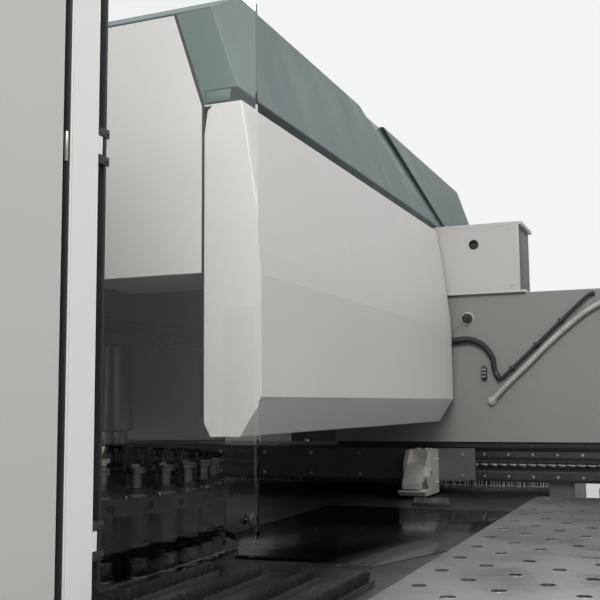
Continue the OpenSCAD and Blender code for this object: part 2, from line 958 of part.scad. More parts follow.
// Brush strips: a steel channel on the table with a row of bristle tufts
tuft_pitch = 23;
module brush_strip(len) {
    h = bristle_h;
    block([-11, 0, 0], [11, len, 10]);
    for (k = [0:floor((len - 14) / tuft_pitch)])
        translate([0, 8 + k * tuft_pitch, 9])
            cylinder(h = h - 9, d = 11, $fn = 6);
}

module table_brushes() {
    color(dark_grey)
        both_sides() {
            for (x = brush_xs)
                translate([x, brush_front, centre_z])
                    brush_strip(brush_back - brush_front);
            translate([rear_brush_x, rear_brush_y, centre_z])
                rotate([0, 0, -90])
                    brush_strip(rear_brush_l);
        }
}

// Wing table: a drilled plate on a tube frame
tube = 60;
tube_h = 80;
wing_z = pass_z - 3;
slot_ys = [-675, -575];
slot_x = wing_in + 250;
slot_l = 480;
slot_w = 12;
slot_deep = 3;
hole_cols = floor((wing_out - wing_in - 60) / hole_px);
hole_rows = floor((wing_back - wing_front - 60) / hole_py);
hole_x = 1056;
hole_y = -1255;

module wing_holes() {
    for (i = [0:hole_cols - 1], k = [0:hole_rows - 1])
        let (x = hole_x + i * hole_px)
        let (y = hole_y + k * hole_py + (i % 2 == 0 ? hole_py / 2 : 0))
        if (x < slot_x - 20 || x > slot_x + slot_l + 20 || y < slot_ys[0] - 30 || y > slot_ys[1] + 30)
            translate([x, y])
                circle(d = hole_d, $fn = 24);
}

module wing_table() {
    z0 = wing_z - table_t;
    low = z0 - tube_h;
    color(steel) {
        difference() {
            translate([0, 0, z0])
                linear_extrude(table_t)
                    difference() {
                        translate([wing_in, wing_front])
                            square([wing_out - wing_in, wing_back - wing_front]);
                        wing_holes();
                    }
            for (y = slot_ys)
                block([slot_x, y - slot_w / 2, wing_z - slot_deep], [slot_x + slot_l, y + slot_w / 2, wing_z + 1]);
        }
        block([wing_in + 5, wing_front, low], [wing_in + 5 + tube, wing_back, z0 + eps]);
        block([wing_in + 5, wing_back - 1, low], [wing_in + 5 + tube, beam_front + 10, z0 - 25]);
        block([floor_rail_x, wing_front, low], [floor_rail_x + tube, wing_back, z0 + eps]);
        for (y = [wing_front, -480, wing_back - tube])
            block([wing_in + 5 + tube - 1, y, low], [floor_rail_x + 1, y + tube, z0 + eps]);
        block([floor_rail_x + 5, -480, floor_rail_h + gap], [floor_rail_x + tube - 5, -480 + tube, low + 1]);
        block([rail_x - 12, -480, side_top + rail_h + gap], [rail_x + 12, -480 + tube, low + 1]);
    }
}

module wing_table_right() {
    wing_table();
}

module wing_table_left() {
    mirror([1, 0, 0])
        wing_table();
}

// Y drive
screw_front = -60;
screw_back = 1600;
rail_front = -1450;
rail_back = 1750;
motor_w = 110;

module y_rails() {
    color(steel)
        both_sides()
            along_y(rail_front, rail_back)
                polygon([
                    [rail_x - rail_w / 2, side_top], [rail_x + rail_w / 2, side_top],
                    [rail_x + rail_w / 2, side_top + 8], [rail_x + rail_w / 2 - 5, side_top + 13],
                    [rail_x + rail_w / 2, side_top + 18], [rail_x + rail_w / 2, side_top + rail_h],
                    [rail_x - rail_w / 2, side_top + rail_h], [rail_x - rail_w / 2, side_top + 18],
                    [rail_x - rail_w / 2 + 5, side_top + 13], [rail_x - rail_w / 2, side_top + 8]
                ]);
}

module y_motors() {
    m = motor_w / 2;
    y0 = screw_back + 40;
    color(dark_grey)
        both_sides() {
            difference() {
                block([screw_x - m, y0, screw_z - m], [screw_x + m, y0 + 30, screw_z + m]);
                bore_y(screw_x, y0 - 1, y0 + 21, screw_z, y_screw_d + 2 * run_fit);
            }
            along_y(y0 + 29, y0 + 230)
                rounded([screw_x - m + 5, screw_z - m + 5], [screw_x + m - 5, screw_z + m - 5], 14);
            block([screw_x - 20, y0 + 60, screw_z - m - 25], [screw_x + 20, y0 + 110, screw_z - m + 6]);
        }
}

module y_screw() {
    color(steel)
        translate([screw_x, screw_front - 40 + gap, screw_z])
            rotate([-90, 0, 0])
                cylinder(h = screw_back + 58 - (screw_front - 40 + gap), d = y_screw_d);
}

module y_screw_right() {
    y_screw();
}

module y_screw_left() {
    mirror([1, 0, 0])
        y_screw();
}

// Crossbeam with its saddles on the Y rails and its nuts on the Y screws
saddle_front = beam_front + 10;
saddle_back = saddle_front + 350;
nut_front = saddle_front + 130;
nut_len = 100;
skirt_x = screw_x + 80;
skirt_low = side_top + 20;
skirt_t = 6;

module crossbeam() {
    back = beam_front + beam_d;
    color(mid_grey)
        difference() {
            union() {
                block([-beam_half, beam_front, beam_low], [beam_half, back, beam_top]);
                both_sides() {
                    block([rail_x - 45, saddle_front, side_top + 4], [rail_x + 38, saddle_back, beam_low + 1]);
                    block([rail_x + 37, nut_front, screw_z - 30], [screw_x + 35, nut_front + nut_len, screw_z + 30]);
                    block([beam_half - 20, beam_front - 50, beam_low], [beam_half, beam_front + 1, beam_top]);
                    block([skirt_x, beam_front, skirt_low], [beam_half, beam_front + skirt_t, beam_low + 1]);
                }
            }
            block([-beam_half - 1, beam_front + beam_wall, beam_low + beam_wall],
                [beam_half + 1, back - beam_wall, beam_top - beam_wall]);
            both_sides() {
                block([rail_x - rail_w / 2 - gap, saddle_front - 1, side_top], [rail_x + rail_w / 2 + gap, saddle_back + 1, side_top + rail_h + gap]);
                bore_y(screw_x, nut_front - 1, nut_front + nut_len + 1, screw_z, y_screw_d + 2 * run_fit);
                bore_x(beam_half - 21, beam_half + 1, x_screw_y, x_screw_z, x_screw_d + 2 * run_fit);
            }
        }
}

// X drive on the crossbeam's front face
x_rail_d = 22;
x_rail_h = 20;

module x_rails() {
    color(steel)
        for (z = [x_rail_low, x_rail_high])
            block([20 - beam_half, beam_front - x_rail_d, z - x_rail_h / 2], [beam_half - 20, beam_front, z + x_rail_h / 2]);
}

module x_screw() {
    start = -beam_half + gap;
    color(steel)
        translate([start, x_screw_y, x_screw_z])
            rotate([0, 90, 0])
                cylinder(h = beam_half + 18 - start, d = x_screw_d);
}

x_motor_l = 190;
module x_motor() {
    m = 50;
    color(dark_grey)
        difference() {
            union() {
                block([beam_half, x_screw_y - m, x_screw_z - m], [beam_half + 25, x_screw_y + m, x_screw_z + m]);
                along_x(beam_half + 24, beam_half + x_motor_l)
                    rounded([x_screw_y - m + 4, x_screw_z - m + 4], [x_screw_y + m - 4, x_screw_z + m - 4], 12);
            }
            bore_x(beam_half - 1, beam_half + 20, x_screw_y, x_screw_z, x_screw_d + 2 * run_fit);
        }
}

module x_carriage() {
    z0 = beam_low + 7;
    z1 = beam_top - 2;
    grip = 17;
    back = beam_front - 3;
    color(mid_grey)
        difference() {
            union() {
                block([-carriage_half, carriage_y, z0], [carriage_half, beam_front - x_rail_d - 5, z1]);
                for (x = [-carriage_half + 20, carriage_half - 140], z = [x_rail_low, x_rail_high])
                    block([x, carriage_y + 1, max(z - grip, beam_low + 3)], [x + 120, back, z + grip]);
                block([-50, carriage_y + 1, x_screw_z - 14], [50, back, x_screw_z + 14]);
            }
            for (z = [x_rail_low, x_rail_high])
                block([-carriage_half - 1, beam_front - x_rail_d - gap, z - x_rail_h / 2 - gap],
                    [carriage_half + 1, beam_front + 1, z + x_rail_h / 2 + gap]);
            bore_x(-51, 51, x_screw_y, x_screw_z, x_screw_d + 2 * run_fit);
        }
}

// Clamps: a body with two cheeks, a fixed lower jaw and a pivoted upper jaw
cheek = (clamp_w - jaw_w) / 2;
lower_jaw_t = 18;
mouth = 6;

module clamp_body(x) {
    tip = jaw_y - 90;
    color(steel)
        translate([x, 0, 0])
            difference() {
                union() {
                    for (s = [-1, 1])
                        along_x(s > 0 ? clamp_w / 2 - cheek : -clamp_w / 2, s > 0 ? clamp_w / 2 : cheek - clamp_w / 2)
                            polygon([
                                [carriage_y, pass_z - lower_jaw_t], [carriage_y, beam_top - 4], [jaw_y + 10, beam_top - 4],
                                [jaw_y - 22, jaw_z + 22], [jaw_y - 22, jaw_z - 20], [jaw_y + 10, pass_z], [jaw_y + 10, pass_z - lower_jaw_t]
                            ]);
                    block([-clamp_w / 2, jaw_y + 30, pass_z - lower_jaw_t], [clamp_w / 2, carriage_y, beam_top - 4]);
                    along_x(-clamp_w / 2, clamp_w / 2)
                        polygon([
                            [tip, pass_z - 4], [tip + 16, pass_z - lower_jaw_t], [jaw_y + 31, pass_z - lower_jaw_t],
                            [jaw_y + 31, pass_z - gap], [tip, pass_z - gap]
                        ]);
                }
                bore_x(-clamp_w, clamp_w, jaw_y, jaw_z, jaw_pin_d + 2 * run_fit);
            }
    color(steel)
        for (dx = [-14, 14])
            translate([x + dx, jaw_y + 60, beam_top - 4.5])
                cylinder(h = 5, d = 12, $fn = 6);
}

module clamp_bodies() {
    clamp_body(clamp_x);
    clamp_body(-clamp_x);
}

module clamp_jaw(x) {
    tip = jaw_y - 90;
    w = jaw_w / 2 - gap;
    color(steel)
        translate([x, 0, 0]) {
            along_x(-w, w)
                difference() {
                    polygon([
                        [tip, pass_z + mouth], [tip, pass_z + 24], [tip + 30, pass_z + 58], [jaw_y - 12, jaw_z + 20],
                        [jaw_y + 16, jaw_z + 20], [jaw_y + 20, jaw_z], [jaw_y + 16, jaw_z - 20], [jaw_y - 24, jaw_z - 24],
                        [tip + 26, pass_z + 20], [tip + 20, pass_z + mouth]
                    ]);
                    translate([jaw_y, jaw_z])
                        circle(d = jaw_pin_d - 2);
                }
            bore_x(-clamp_w / 2 + gap, clamp_w / 2 - gap, jaw_y, jaw_z, jaw_pin_d);
        }
}

module clamp_jaw_right() {
    clamp_jaw(clamp_x);
}

module clamp_jaw_left() {
    clamp_jaw(-clamp_x);
}

// Turret
hub_r = 110;
drum_r = 452;
notch_l = 24;
collar_h = 16;

// Every station, and those with a tool in the common set: one has the tool
// that moves with the ram, and the one opposite to it is empty
all_stations = [0:stations - 1];
tool_stations = [for (i = [1:stations - 1]) if (i != stations / 2) i];

module at_stations(places) {
    translate([0, turret_y, 0])
        for (i = places)
            rotate([0, 0, 90 + i * step])
                translate([ring_r, 0, 0])
                    children();
}

module notches(z) {
    translate([0, turret_y, z])
        for (i = all_stations)
            rotate([0, 0, i * step - 90])
                translate([disc_r - notch_l, 0, 0])
                    rotate([0, 90, 0])
                        cylinder(h = notch_l + 1, d = pin_d + 2 * gap, $fn = 24);
}

module upper_turret() {
    color(dark_grey)
        difference() {
            union() {
                translate([0, turret_y, rim_top - rim_t])
                    cylinder(h = rim_t, r = disc_r, $fn = 96);
                translate([0, turret_y, guide_low + 8])
                    cylinder(h = rim_top - rim_t - guide_low - 7, r = drum_r, $fn = 96);
                at_stations(all_stations)
                    translate([0, 0, guide_low])
                        cylinder(h = rim_top - rim_t - guide_low + 1, d = guide_d);
                at_stations(all_stations)
                    translate([0, 0, rim_top - 1])
                        cylinder(h = collar_h + 1, d = head_d);
                translate([0, turret_y, rim_top - 1])
                    cylinder(h = 41, r = hub_r);
                translate([0, turret_y, rim_top + 39])
                    cylinder(h = win_high + plate_t - rim_top - 39, d = shaft_d);
                translate([0, turret_y, belt_z])
                    cylinder(h = belt_w, r = pulley_r, $fn = 96);
            }
            translate([0, turret_y, guide_low - 1])
                difference() {
                    cylinder(h = rim_top - rim_t - guide_low, r = drum_r - 40, $fn = 96);
                    translate([0, 0, -1])
                        cylinder(h = rim_top - guide_low, r = hub_r);
                }
            at_stations(all_stations)
                translate([0, 0, guide_low - 1])
                    cylinder(h = rim_top + collar_h - guide_low + 2, d = stem_d + 2 * run_fit);
            notches(rim_top - rim_t / 2);
        }
}

// A punch: its point, its stem through guide and collar, and its head
point_up = 3;
point_in = 4;
point_l = 19;
head_bevel = 4;
module punch() {
    r = stem_d / 2;
    low = guide_low + point_up;
    rotate_extrude()
        polygon([
            [0, low], [r - point_in, low], [r - point_in, low + point_l], [r, low + point_l + point_in],
            [r, head_top - head_t], [head_d / 2 - 1, head_top - head_t], [head_d / 2, head_top - head_t + 1],
            [head_d / 2, head_top - head_bevel], [head_d / 2 - head_bevel, head_top], [0, head_top]
        ]);
}

module punch_tools() {
    color(steel)
        at_stations(tool_stations)
            punch();
}

module active_punch() {
    color(steel)
        translate([0, punch_y, 0])
            punch();
}

die_seat = 12;

module lower_turret() {
    z0 = lower_top - lower_t;
    color(dark_grey)
        difference() {
            union() {
                translate([0, turret_y, z0])
                    cylinder(h = lower_t, r = disc_r, $fn = 96);
                translate([0, turret_y, win_low - plate_t])
                    cylinder(h = z0 - win_low + plate_t + 1, d = shaft_d);
                translate([0, turret_y, low_belt_z])
                    cylinder(h = belt_w, r = pulley_r, $fn = 96);
            }
            at_stations(all_stations) {
                translate([0, 0, lower_top - die_seat])
                    cylinder(h = die_seat + 1, d = guide_d + 2 * gap);
                translate([0, 0, z0 - 1])
                    cylinder(h = lower_t + 1, d = die_bore + 3);
            }
            notches(lower_top - lower_t / 2);
        }
}

module die_set() {
    color(steel)
        at_stations(all_stations)
            translate([0, 0, lower_top - die_seat])
                difference() {
                    rotate_extrude()
                        polygon([
                            [0, 0], [guide_d / 2, 0], [guide_d / 2, die_top - lower_top + die_seat - 3],
                            [guide_d / 2 - 3, die_top - lower_top + die_seat], [0, die_top - lower_top + die_seat]
                        ]);
                    translate([0, 0, -1])
                        cylinder(h = 100, d = die_bore);
                }
}

module turret_drive_shaft() {
    low = win_low - plate_t;
    color(steel)
        translate([drive_x, drive_y, 0]) {
            translate([0, 0, low])
                cylinder(h = win_high + plate_t + 18 - low, d = drive_d);
            for (z = [belt_z, low_belt_z])
                translate([0, 0, z])
                    cylinder(h = belt_w, r = pinion_r);
        }
}

// An open belt round two pulleys: arcs of each and the straight runs between them
function belt_loop(a, ra, b, rb) =
    let (d = norm(b - a))
    let (dir = atan2(b[1] - a[1], b[0] - a[0]))
    let (lift = acos((ra - rb) / d))
    let (n = 48)
    concat(
        [for (i = [0:n]) a + ra * [cos(dir + lift + (360 - 2 * lift) * i / n), sin(dir + lift + (360 - 2 * lift) * i / n)]],
        [for (i = [0:n]) b + rb * [cos(dir - lift + 2 * lift * i / n), sin(dir - lift + 2 * lift * i / n)]]
    );
belt_t = 8;
belt_play = 0.4;

module drive_belts() {
    a = [0, turret_y];
    b = [drive_x, drive_y];
    g = belt_play;
    color(black)
        for (z = [belt_z, low_belt_z])
            translate([0, 0, z])
                linear_extrude(belt_w)
                    difference() {
                        polygon(belt_loop(a, pulley_r + g + belt_t, b, pinion_r + g + belt_t));
                        polygon(belt_loop(a, pulley_r + g, b, pinion_r + g));
                    }
}

module turret_motor() {
    m = 60;
    z0 = win_high + plate_t;
    color(dark_grey)
        difference() {
            union() {
                translate([drive_x - m, drive_y - m, z0])
                    cube([2 * m, 2 * m, 30]);
                translate([0, 0, z0 + 29])
                    linear_extrude(230)
                        rounded([drive_x - m + 5, drive_y - m + 5], [drive_x + m - 5, drive_y + m - 5], 14);
            }
            translate([drive_x, drive_y, z0 - 1])
                cylinder(h = 20, d = drive_d + 2 * run_fit);
        }
}

// Ram with its cylinder in the upper beam
flange_t = 35;

module ram_cylinder() {
    z0 = win_high - flange_t;
    color(mid_grey)
        translate([0, punch_y, 0])
            difference() {
                union() {
                    translate([0, 0, z0])
                        cylinder(h = flange_t, d = barrel_d + 100);
                    translate([0, 0, win_high - 1])
                        cylinder(h = 360, d = barrel_d);
                    for (i = [0:7])
                        rotate([0, 0, i * 45])
                            translate([barrel_d / 2 + 30, 0, z0 - 10])
                                cylinder(h = 11, d = 24, $fn = 6);
                }
                translate([0, 0, z0 - 1])
                    cylinder(h = 260, d = ram_d + 2 * run_fit);
            }
}

module ram() {
    color(steel)
        translate([0, punch_y, 0])
            rotate_extrude()
                polygon([
                    [0, head_top + 1], [striker_d / 2 - 3, head_top + 1], [striker_d / 2, head_top + 4],
                    [striker_d / 2, head_top + 40], [ram_d / 2, head_top + 46], [ram_d / 2, win_high + 140], [0, win_high + 140]
                ]);
}

// Index pins in the front column
pin_tip = turret_y - disc_r - 5;

module index_pin(z) {
    color(steel) {
        bore_y(0, win_front - plate_t - 40, pin_tip, z, pin_d);
        bore_y(0, win_front - plate_t - 60, win_front - plate_t - 35, z, pin_d * 2);
    }
}

module index_pin_upper() {
    index_pin(rim_top - rim_t / 2);
}

module index_pin_lower() {
    index_pin(lower_top - lower_t / 2);
}

// Tool change doors
hinge_zs = [1070, 1615, 2020];

module tool_door() {
    x1 = door_hinge_x + pane_t / 2;
    y0 = door_hinge_y + hinge_d / 2 + 2;
    color([0.80, 0.86, 0.86, 0.4])
        difference() {
            block([x1 - pane_t, y0, door_low], [x1, door_y1, door_high]);
            bore_x(x1 - pane_t - 1, x1 + 1, door_y1 - 50, door_low + 45, 8);
        }
    color(dark_grey) {
        for (z = hinge_zs)
            for (s = [-1, 1])
                translate([door_hinge_x, door_hinge_y, z + s * 20 - 6.7]) {
                    cylinder(h = 13.4, d = hinge_d);
                    translate([pane_t / 2, 0, 0])
                        cube([2, 32, 13.4]);
                    cube([pane_t / 2 + 2, hinge_d / 2, 13.4]);
                }
        bore_x(x1 - pane_t - 12, x1 + 14, door_y1 - 50, door_low + 45, 8);
        bore_x(x1 + 1, x1 + 14, door_y1 - 50, door_low + 45, 26);
    }
}

module tool_door_right() {
    tool_door();
}

module tool_door_left() {
    mirror([1, 0, 0])
        tool_door();
}

// Electric cabinet on the left of the rear column
cab_y = 1930;
cab_x1 = -rear_cover_x;
cab_x0 = cab_x1 - cabinet_d;
plinth = 100;
cab_door_t = 24;
cab_hinge_y = cab_y + cabinet_w - 10;
handle_y = cab_y + 60;
handle_z = 1050;

module electric_cabinet() {
    w = sheet_t;
    color(light_grey)
        difference() {
            union() {
                block([cab_x0, cab_y, plinth], [cab_x1, cab_y + cabinet_w, cabinet_h]);
                block([cab_x0 + 20, cab_y + 20, 0], [cab_x1 - 20, cab_y + cabinet_w - 20, plinth + 1]);
                for (z = [plinth + 200, cabinet_h - 200])
                    translate([cab_x0 - 12, cab_hinge_y, z]) {
                        cylinder(h = 40, d = 14);
                        translate([0, -7, 0])
                            cube([13, 14, 40]);
                    }
            }
            block([cab_x0 - 1, cab_y + 30, plinth + 30], [cab_x1 - w, cab_y + cabinet_w - 30, cabinet_h - 30]);
            block([cab_x0 + w, cab_y + w, plinth + w], [cab_x1 - w, cab_y + cabinet_w - w, cabinet_h - w]);
        }
}

module cabinet_door() {
    x0 = cab_x0 - cab_door_t - gap;
    y0 = cab_y + 4;
    y1 = cab_hinge_y - 9;
    color(light_grey)
        difference() {
            union() {
                block([x0, y0, plinth + 6], [cab_x0 - gap, y1, cabinet_h - 6]);
                for (z = [plinth + 200, cabinet_h - 200])
                    translate([cab_x0 - 12, cab_hinge_y, z + 40 + gap]) {
                        cylinder(h = 30, d = 14);
                        translate([-7, -12, 0])
                            cube([14, 12, 30]);
                    }
            }
            block([x0 + 3, y0 + 20, plinth + 26], [cab_x0, y1 - 20, cabinet_h - 26]);
            bore_x(x0 - 1, x0 + 4, handle_y, handle_z, 20 + 2 * run_fit);
            for (z = [plinth + 80, cabinet_h - 180])
                for (k = [0:4])
                    block([x0 - 1, (y0 + y1) / 2 - 90, z + k * 18], [x0 + 4, (y0 + y1) / 2 + 90, z + k * 18 + 8]);
        }
}

module cabinet_handle() {
    x0 = cab_x0 - cab_door_t - gap;
    color(black) {
        bore_x(x0 - 20, x0 + 8, handle_y, handle_z, 20);
        block([x0 - 28, handle_y - 12, handle_z - 110], [x0 - 12, handle_y + 12, handle_z + 14]);
    }
}

// Pump unit on the right of the rear column
tank_y = 1760;
tank_w = 480;

module hydraulic_unit() {
    x0 = rear_cover_x;
    mid = x0 + tank_w / 2;
    color(mid_grey) {
        block([x0, tank_y, 60], [x0 + tank_w, tank_y + tank_l, 60 + tank_h]);
        for (x = [x0 + 20, x0 + tank_w - 80], y = [tank_y + 20, tank_y + tank_l - 80])
            block([x, y, 0], [x + 60, y + 60, 61]);
        translate([mid - 120, tank_y + 120, 59 + tank_h])
            cylinder(h = 40, d = 90);
    }
    color(dark_grey) {
        block([mid - 20, tank_y + 110, 59 + tank_h], [mid + 120, tank_y + 470, 80 + tank_h]);
        bore_y(mid + 50, tank_y + 150, tank_y + 470, 150 + tank_h, 160);
        bore_y(mid + 50, tank_y + 90, tank_y + 151, 150 + tank_h, 100);
        block([mid + 10, tank_y + 200, 79 + tank_h], [mid + 90, tank_y + 420, 100 + tank_h]);
    }
}

// Operator's pendant on the left of the front column
arm_x = -hood_x - 90;
arm_y = -2300;
arm_z = 1560;
arm_tube = 60;
arm_boss = 90;
arm_pin_d = 30;
head_y = arm_y - arm_l;
head_z1 = arm_z - gap;
head_z0 = head_z1 - pendant_h;
head_d1 = 110;
button_z = head_z0 + 70;

module pendant_arm() {
    color(mid_grey)
        difference() {
            union() {
                for (y = [arm_y, head_y])
                    translate([arm_x, y, arm_z])
                        cylinder(h = arm_tube + 20, d = arm_boss);
                block([arm_x - arm_tube / 2, head_y, arm_z + 10], [arm_x + arm_tube / 2, arm_y, arm_z + 10 + arm_tube]);
            }
            for (y = [arm_y, head_y])
                translate([arm_x, y, arm_z - 1])
                    cylinder(h = arm_tube + 2, d = arm_pin_d + 2 * run_fit);
        }
}

estop_in = 80;
start_in = 190;
start_d = 18;
shank_less = 12;
module pendant_head() {
    x0 = arm_x - pendant_w / 2;
    y0 = head_y - head_d1 / 2;
    color(light_grey)
        difference() {
            union() {
                along_y(y0, y0 + head_d1)
                    rounded([x0, head_z0], [x0 + pendant_w, head_z1 - 30], 24);
                translate([arm_x, head_y, head_z1 - 40])
                    cylinder(h = 40, d = 80);
                translate([arm_x, head_y, head_z1 - 1])
                    cylinder(h = arm_tube, d = arm_pin_d);
            }
            block([x0 + 40, y0 - 1, head_z0 + 190], [x0 + pendant_w - 40, y0 + 6, head_z1 - 70]);
            for (p = [[x0 + estop_in, estop_d - shank_less], [x0 + start_in, start_d]])
                bore_y(p[0], y0 - 1, y0 + 26, button_z, p[1] + 2 * run_fit);
        }
    color(dark_grey) {
        block([x0 + 42, y0 + 4, head_z0 + 192], [x0 + pendant_w - 42, y0 + 7, head_z1 - 72]);
        for (i = [0:5], k = [0:2])
            block([x0 + 235 + 26 * i, y0 - 4, button_z - 44 + 30 * k], [x0 + 255 + 26 * i, y0 + 1, button_z - 24 + 30 * k]);
    }
}

module push_button(x, shank, cap, h, tone) {
    y0 = head_y - head_d1 / 2;
    color(tone) {
        bore_y(x, y0 - 8, y0 + 16, button_z, shank);
        bore_y(x, y0 - 8 - h, y0 - 8, button_z, cap);
    }
}

module estop_button() {
    push_button(arm_x - pendant_w / 2 + estop_in, estop_d - shank_less, estop_d, 14, red);
}

module start_button() {
    push_button(arm_x - pendant_w / 2 + start_in, start_d, 22, 6, green);
}

o_frame();
levelling_screws();
side_beam_right();
side_beam_left();
front_column_cover();
front_roof_cover();
rear_column_cover();
door_posts();
hood_right();
hood_left();
nose_covers();
eave_strips();
roof_cap_front();
roof_band();
roof_cap_rear();
service_housing();
junction_box();
housing_latch();
control_cable();
cable_conduit();
cable_clips();
terminal_block();
centre_table();
table_brushes();
y_rails();
y_motors();
y_screw_right();
y_screw_left();
crossbeam();
x_rails();
x_motor();
x_screw();
wing_table_right();
wing_table_left();
x_carriage();
clamp_bodies();
clamp_jaw_right();
clamp_jaw_left();
upper_turret();
punch_tools();
active_punch();
lower_turret();
die_set();
turret_drive_shaft();
drive_belts();
turret_motor();
ram_cylinder();
ram();
index_pin_upper();
index_pin_lower();
tool_door_right();
tool_door_left();
electric_cabinet();
cabinet_door();
cabinet_handle();
pendant_arm();
pendant_head();
estop_button();
start_button();
hydraulic_unit();
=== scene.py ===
# Turret punch press: finishes, small parts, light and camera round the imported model.
import json
import random
from math import acos, atan2, cos, hypot, pi, radians, sin, sqrt

import bmesh
import bpy
from mathutils import Matrix, Vector


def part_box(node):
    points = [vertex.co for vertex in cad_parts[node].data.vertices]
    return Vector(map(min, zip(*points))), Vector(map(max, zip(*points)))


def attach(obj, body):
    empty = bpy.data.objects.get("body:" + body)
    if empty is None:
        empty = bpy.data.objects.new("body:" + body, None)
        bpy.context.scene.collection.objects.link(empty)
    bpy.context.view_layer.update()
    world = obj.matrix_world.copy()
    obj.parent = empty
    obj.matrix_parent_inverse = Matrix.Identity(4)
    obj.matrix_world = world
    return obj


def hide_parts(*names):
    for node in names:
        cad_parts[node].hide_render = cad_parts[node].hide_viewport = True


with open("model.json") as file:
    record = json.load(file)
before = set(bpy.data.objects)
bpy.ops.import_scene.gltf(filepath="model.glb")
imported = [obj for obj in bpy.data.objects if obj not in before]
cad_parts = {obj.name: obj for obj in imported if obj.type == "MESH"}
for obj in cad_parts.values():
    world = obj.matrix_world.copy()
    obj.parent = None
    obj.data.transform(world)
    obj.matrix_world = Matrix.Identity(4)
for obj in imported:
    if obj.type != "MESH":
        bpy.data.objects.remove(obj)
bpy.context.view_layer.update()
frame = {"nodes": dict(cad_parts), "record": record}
print("frame loaded")


# shader helpers
def addNode(tree, kind, inputs=None, **settings):
    made = tree.nodes.new(kind)
    for key, value in settings.items():
        setattr(made, key, value)
    for key, value in (inputs or {}).items():
        if hasattr(value, "is_output"):
            tree.links.new(value, made.inputs[key])
        else:
            made.inputs[key].default_value = value
    return made


def startFinish(name, tone, rough, metal=0.0):
    made = bpy.data.materials.new(name)
    made.use_nodes = True
    tree = made.node_tree
    tree.nodes.clear()
    shader = addNode(tree, "ShaderNodeBsdfPrincipled", {"Base Color": (*tone, 1), "Roughness": rough, "Metallic": metal,
                                                        "Specular IOR Level": 0.5})
    addNode(tree, "ShaderNodeOutputMaterial", {"Surface": shader.outputs[0]})
    return made, tree, shader


def speckle(tree, scale, detail=3.0, rough=0.5, stretch=(1, 1, 1), turn=0.0):
    place = addNode(tree, "ShaderNodeTexCoord").outputs["Object"]
    laid = addNode(tree, "ShaderNodeMapping", {"Vector": place, "Scale": stretch, "Rotation": (0, 0, turn)}).outputs[0]
    made = addNode(tree, "ShaderNodeTexNoise", {"Vector": laid, "Scale": scale, "Detail": detail, "Roughness": rough})
    return made.outputs[0]


def ramp(tree, value, low, high, start=0.0, end=1.0, kind="LINEAR"):
    made = addNode(tree, "ShaderNodeMapRange", {0: value, 1: low, 2: high, 3: start, 4: end}, interpolation_type=kind)
    return made.outputs[0]


def mixTone(tree, share, first, second):
    first, second = (value if hasattr(value, "is_output") else (*value, 1) for value in (first, second))
    return addNode(tree, "ShaderNodeMix", {0: share, 6: first, 7: second}, data_type="RGBA").outputs[2]


def maths(tree, kind, first, second):
    return addNode(tree, "ShaderNodeMath", {0: first, 1: second}, operation=kind).outputs[0]


def addBump(tree, shader, height, strength, depth):
    bump = addNode(tree, "ShaderNodeBump", {"Height": height, "Strength": strength, "Distance": depth})
    tree.links.new(bump.outputs[0], shader.inputs["Normal"])


def shade(tone, factor):
    return tuple(min(1.0, c * factor) for c in tone)


def edgeMask(tree, width):
    # how far a rounded normal turns from the flat one: 1 along edges
    soft = addNode(tree, "ShaderNodeBevel", {"Radius": width}, samples=4).outputs[0]
    flat = addNode(tree, "ShaderNodeNewGeometry").outputs["Normal"]
    dot = addNode(tree, "ShaderNodeVectorMath", {0: soft, 1: flat}, operation="DOT_PRODUCT")
    return ramp(tree, dot.outputs["Value"], 0.93, 0.74)


marks = {"dust": (0.32, 0.30, 0.27), "bare": (0.35, 0.35, 0.34), "oil": (0.09, 0.075, 0.06),
         "scratchTurns": (0.5, 1.9, 2.7)}


def paintFinish(name, tone, rough, cloud, peel, dust=0.0, wear=0.0):
    made, tree, shader = startFinish(name, tone, rough)
    cloudy = ramp(tree, speckle(tree, 1.6, 4), 0.3, 0.7)
    colour = mixTone(tree, cloudy, shade(tone, 1 - cloud), shade(tone, 1 + cloud * 0.6))
    if dust:
        dusty = ramp(tree, speckle(tree, 5, 8, 0.65), 0.52, 0.72)
        colour = mixTone(tree, maths(tree, "MULTIPLY", dusty, dust), colour, marks["dust"])
    if wear:
        rubbed = maths(tree, "MULTIPLY", edgeMask(tree, wear), ramp(tree, speckle(tree, 60, 5), 0.42, 0.6))
        colour = mixTone(tree, rubbed, colour, marks["bare"])
    tree.links.new(colour, shader.inputs["Base Color"])
    smear = speckle(tree, 9, 6, 0.6, (1, 1, 0.25))
    tree.links.new(ramp(tree, smear, 0.3, 0.7, rough - 0.06, rough + 0.09), shader.inputs["Roughness"])
    addBump(tree, shader, speckle(tree, 700, 2), peel, 0.0006)
    return made


